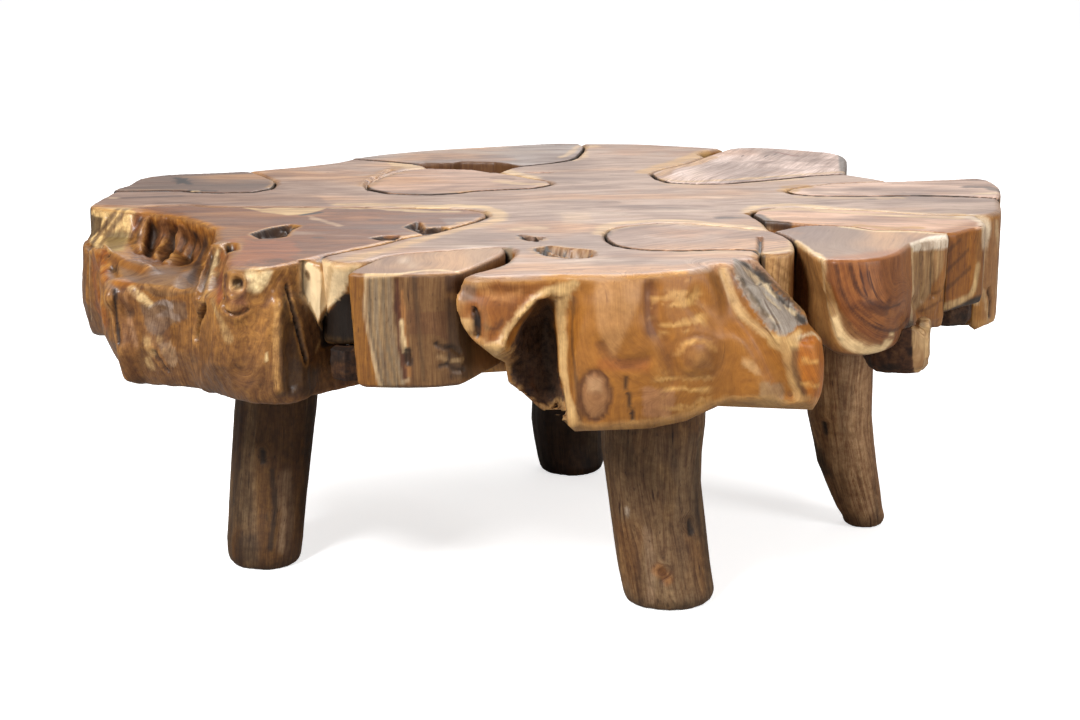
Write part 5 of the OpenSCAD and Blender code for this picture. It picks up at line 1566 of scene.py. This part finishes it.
# %% [markdown]
# The chunks under the top are offcuts of dark root: rough, cracked and barely oiled. They are hardly seen, so
# noise breaks their skin, and only the pale end of one of them has marks of its own.

# %% Under-blocks
OFFCUT_SKIN = 1.6
BROKEN_CORNER = [(906, 346), (914, 341)]
PALE_END = [(910, 312), (932, 312), (932, 374), (915, 374), (911, 350)]
END_SHADE = [(914, 320), (926, 318), (926, 330), (916, 332)]
# Each has the colour of its wood, that of its dark places, and the heading of its grain
OFFCUTS = {
    "right_under_block": ("#6E4A2C", "#2A1B10", 0),
    "right_end_under_block": ("#5E4128", "#22160C", 10),
    # The left one stands in the dark gap under the wedge, and its dark colours are partly painted shade
    "left_under_block": ("#5E3E20", "#22150C", 80),
}


def offcut(node, colour, dark, heading):
    """A chunk of dark root with a broken skin."""
    bench = Bench(rough_out(node, "rough_" + node, OFFCUT_SKIN))
    bench.figure = across(bench.at, heading)
    bench.figure += 8 * rough_noise(bench.at, 40, 5)
    bench.move = bench.out * (1.8 * rough_noise(bench.at, (26, 20, 12), 9) - 0.9)[:, None]
    bench.stain[:] = from_hex(colour)[:3]
    cloud(bench, dark, 0.8, (30, 24, 14), 6, 0.4, 0)
    bench.rough[:] = 0.9
    return bench


for node, looks in OFFCUTS.items():
    bench = offcut(node, *looks)
    if node == "right_under_block":
        push(bench, BROKEN_CORNER, 26, 20, way=(0, 0, 1))
        patch(bench, "#DDB884", PALE_END, 0.97, 4, 0.3)
        bench.rough -= 0.75 * within(bench, PALE_END, 4)
        patch(bench, "#4A3420", END_SHADE, 0.5, 5)
    finish_piece(bench, dry_teak)

# %% [markdown]
# Dowels, studs, inserts and screws keep their solids. The metals are turned on a lathe, which leaves fine
# rings across their axes, and they have tarnished a little in clouds. The dowels are turned teak without
# varnish.

# %% Turned metal
# Scales, per metre. Clouds of tarnish are about 6 mm across. The rings are 0.8 mm apart, coarser than a lathe
# leaves them, so that they show.
TARNISH = 160
MACHINING = 400


def metal(name, colour, tarnish, roughness):
    """Turned metal with fine machining marks and cloudy tarnish."""
    material = bpy.data.materials.new(name)
    material.use_nodes = True
    tree = material.node_tree
    bsdf = tree.nodes["Principled BSDF"]
    place = add_node(tree, "ShaderNodeTexCoord").outputs["Object"]
    clouds = add_node(tree, "ShaderNodeTexNoise", {"Vector": place}, Scale=TARNISH, Detail=4)
    ramp = add_node(tree, "ShaderNodeValToRGB", {"Fac": clouds.outputs["Fac"]})
    ramp.color_ramp.elements[0].position = 0.35
    ramp.color_ramp.elements[0].color = from_hex(tarnish)
    ramp.color_ramp.elements[1].position = 0.6
    ramp.color_ramp.elements[1].color = from_hex(colour)
    tree.links.new(ramp.outputs["Color"], bsdf.inputs["Base Color"])
    worn = add_node(tree, "ShaderNodeMapRange", {"Value": clouds.outputs["Fac"]},
                    To_Min=roughness + 0.15, To_Max=roughness - 0.05)
    tree.links.new(worn.outputs[0], bsdf.inputs["Roughness"])
    marks = add_node(tree, "ShaderNodeTexWave", {"Vector": place}, bands_direction="Z", Scale=MACHINING,
                     Distortion=0.4)
    bump = add_node(tree, "ShaderNodeBump", {"Height": marks.outputs["Fac"]}, Strength=0.3,
                    Distance=0.05 * MM)
    tree.links.new(bump.outputs[0], bsdf.inputs["Normal"])
    bsdf.inputs["Metallic"].default_value = 1
    return material


# Plated with zinc against rust: a cool light grey with cloudy reflections
steel = metal("zinc-plated turned steel", "#B9BCC0", "#85878A", 0.32)
# Brass cuts cleanly on a lathe: warm yellow, browner where it has tarnished
brass = metal("turned brass", "#C9A765", "#8E7038", 0.3)
print("metals are ready:", steel.name, brass.name, sep="; ")

# %% Turned teak
# A scale, per metre: the streaks are about 2.4 mm apart
DOWEL_STREAK = 420


def turned_dowel():
    """Plain teak along the dowel: pale, with fine streaks and open pores."""
    material = bpy.data.materials.new("plain turned teak dowel")
    material.use_nodes = True
    tree = material.node_tree
    bsdf = tree.nodes["Principled BSDF"]
    place = add_node(tree, "ShaderNodeTexCoord").outputs["Object"]
    streaks = add_node(tree, "ShaderNodeTexNoise", {"Vector": place}, Scale=DOWEL_STREAK, Detail=4)
    ramp = add_node(tree, "ShaderNodeValToRGB", {"Fac": streaks.outputs["Fac"]})
    ramp.color_ramp.elements[0].position = 0.38
    ramp.color_ramp.elements[0].color = from_hex("#9A6C3E")
    ramp.color_ramp.elements[1].position = 0.58
    ramp.color_ramp.elements[1].color = from_hex("#D2A468")
    tree.links.new(ramp.outputs["Color"], bsdf.inputs["Base Color"])
    bump = add_node(tree, "ShaderNodeBump", {"Height": streaks.outputs["Fac"]}, Strength=0.4,
                    Distance=0.1 * MM)
    tree.links.new(bump.outputs[0], bsdf.inputs["Normal"])
    bsdf.inputs["Roughness"].default_value = 0.6
    return material


# Turned and left bare: pale and dull, so glue can enter its pores
dowel_teak = turned_dowel()
for node, material in (("seam_dowels", dowel_teak), ("leg_studs", steel), ("leg_inserts", brass),
                       ("block_screws", steel)):
    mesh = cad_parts[node].data
    mesh.materials.clear()
    mesh.materials.append(material)
    print(node, "in", material.name)
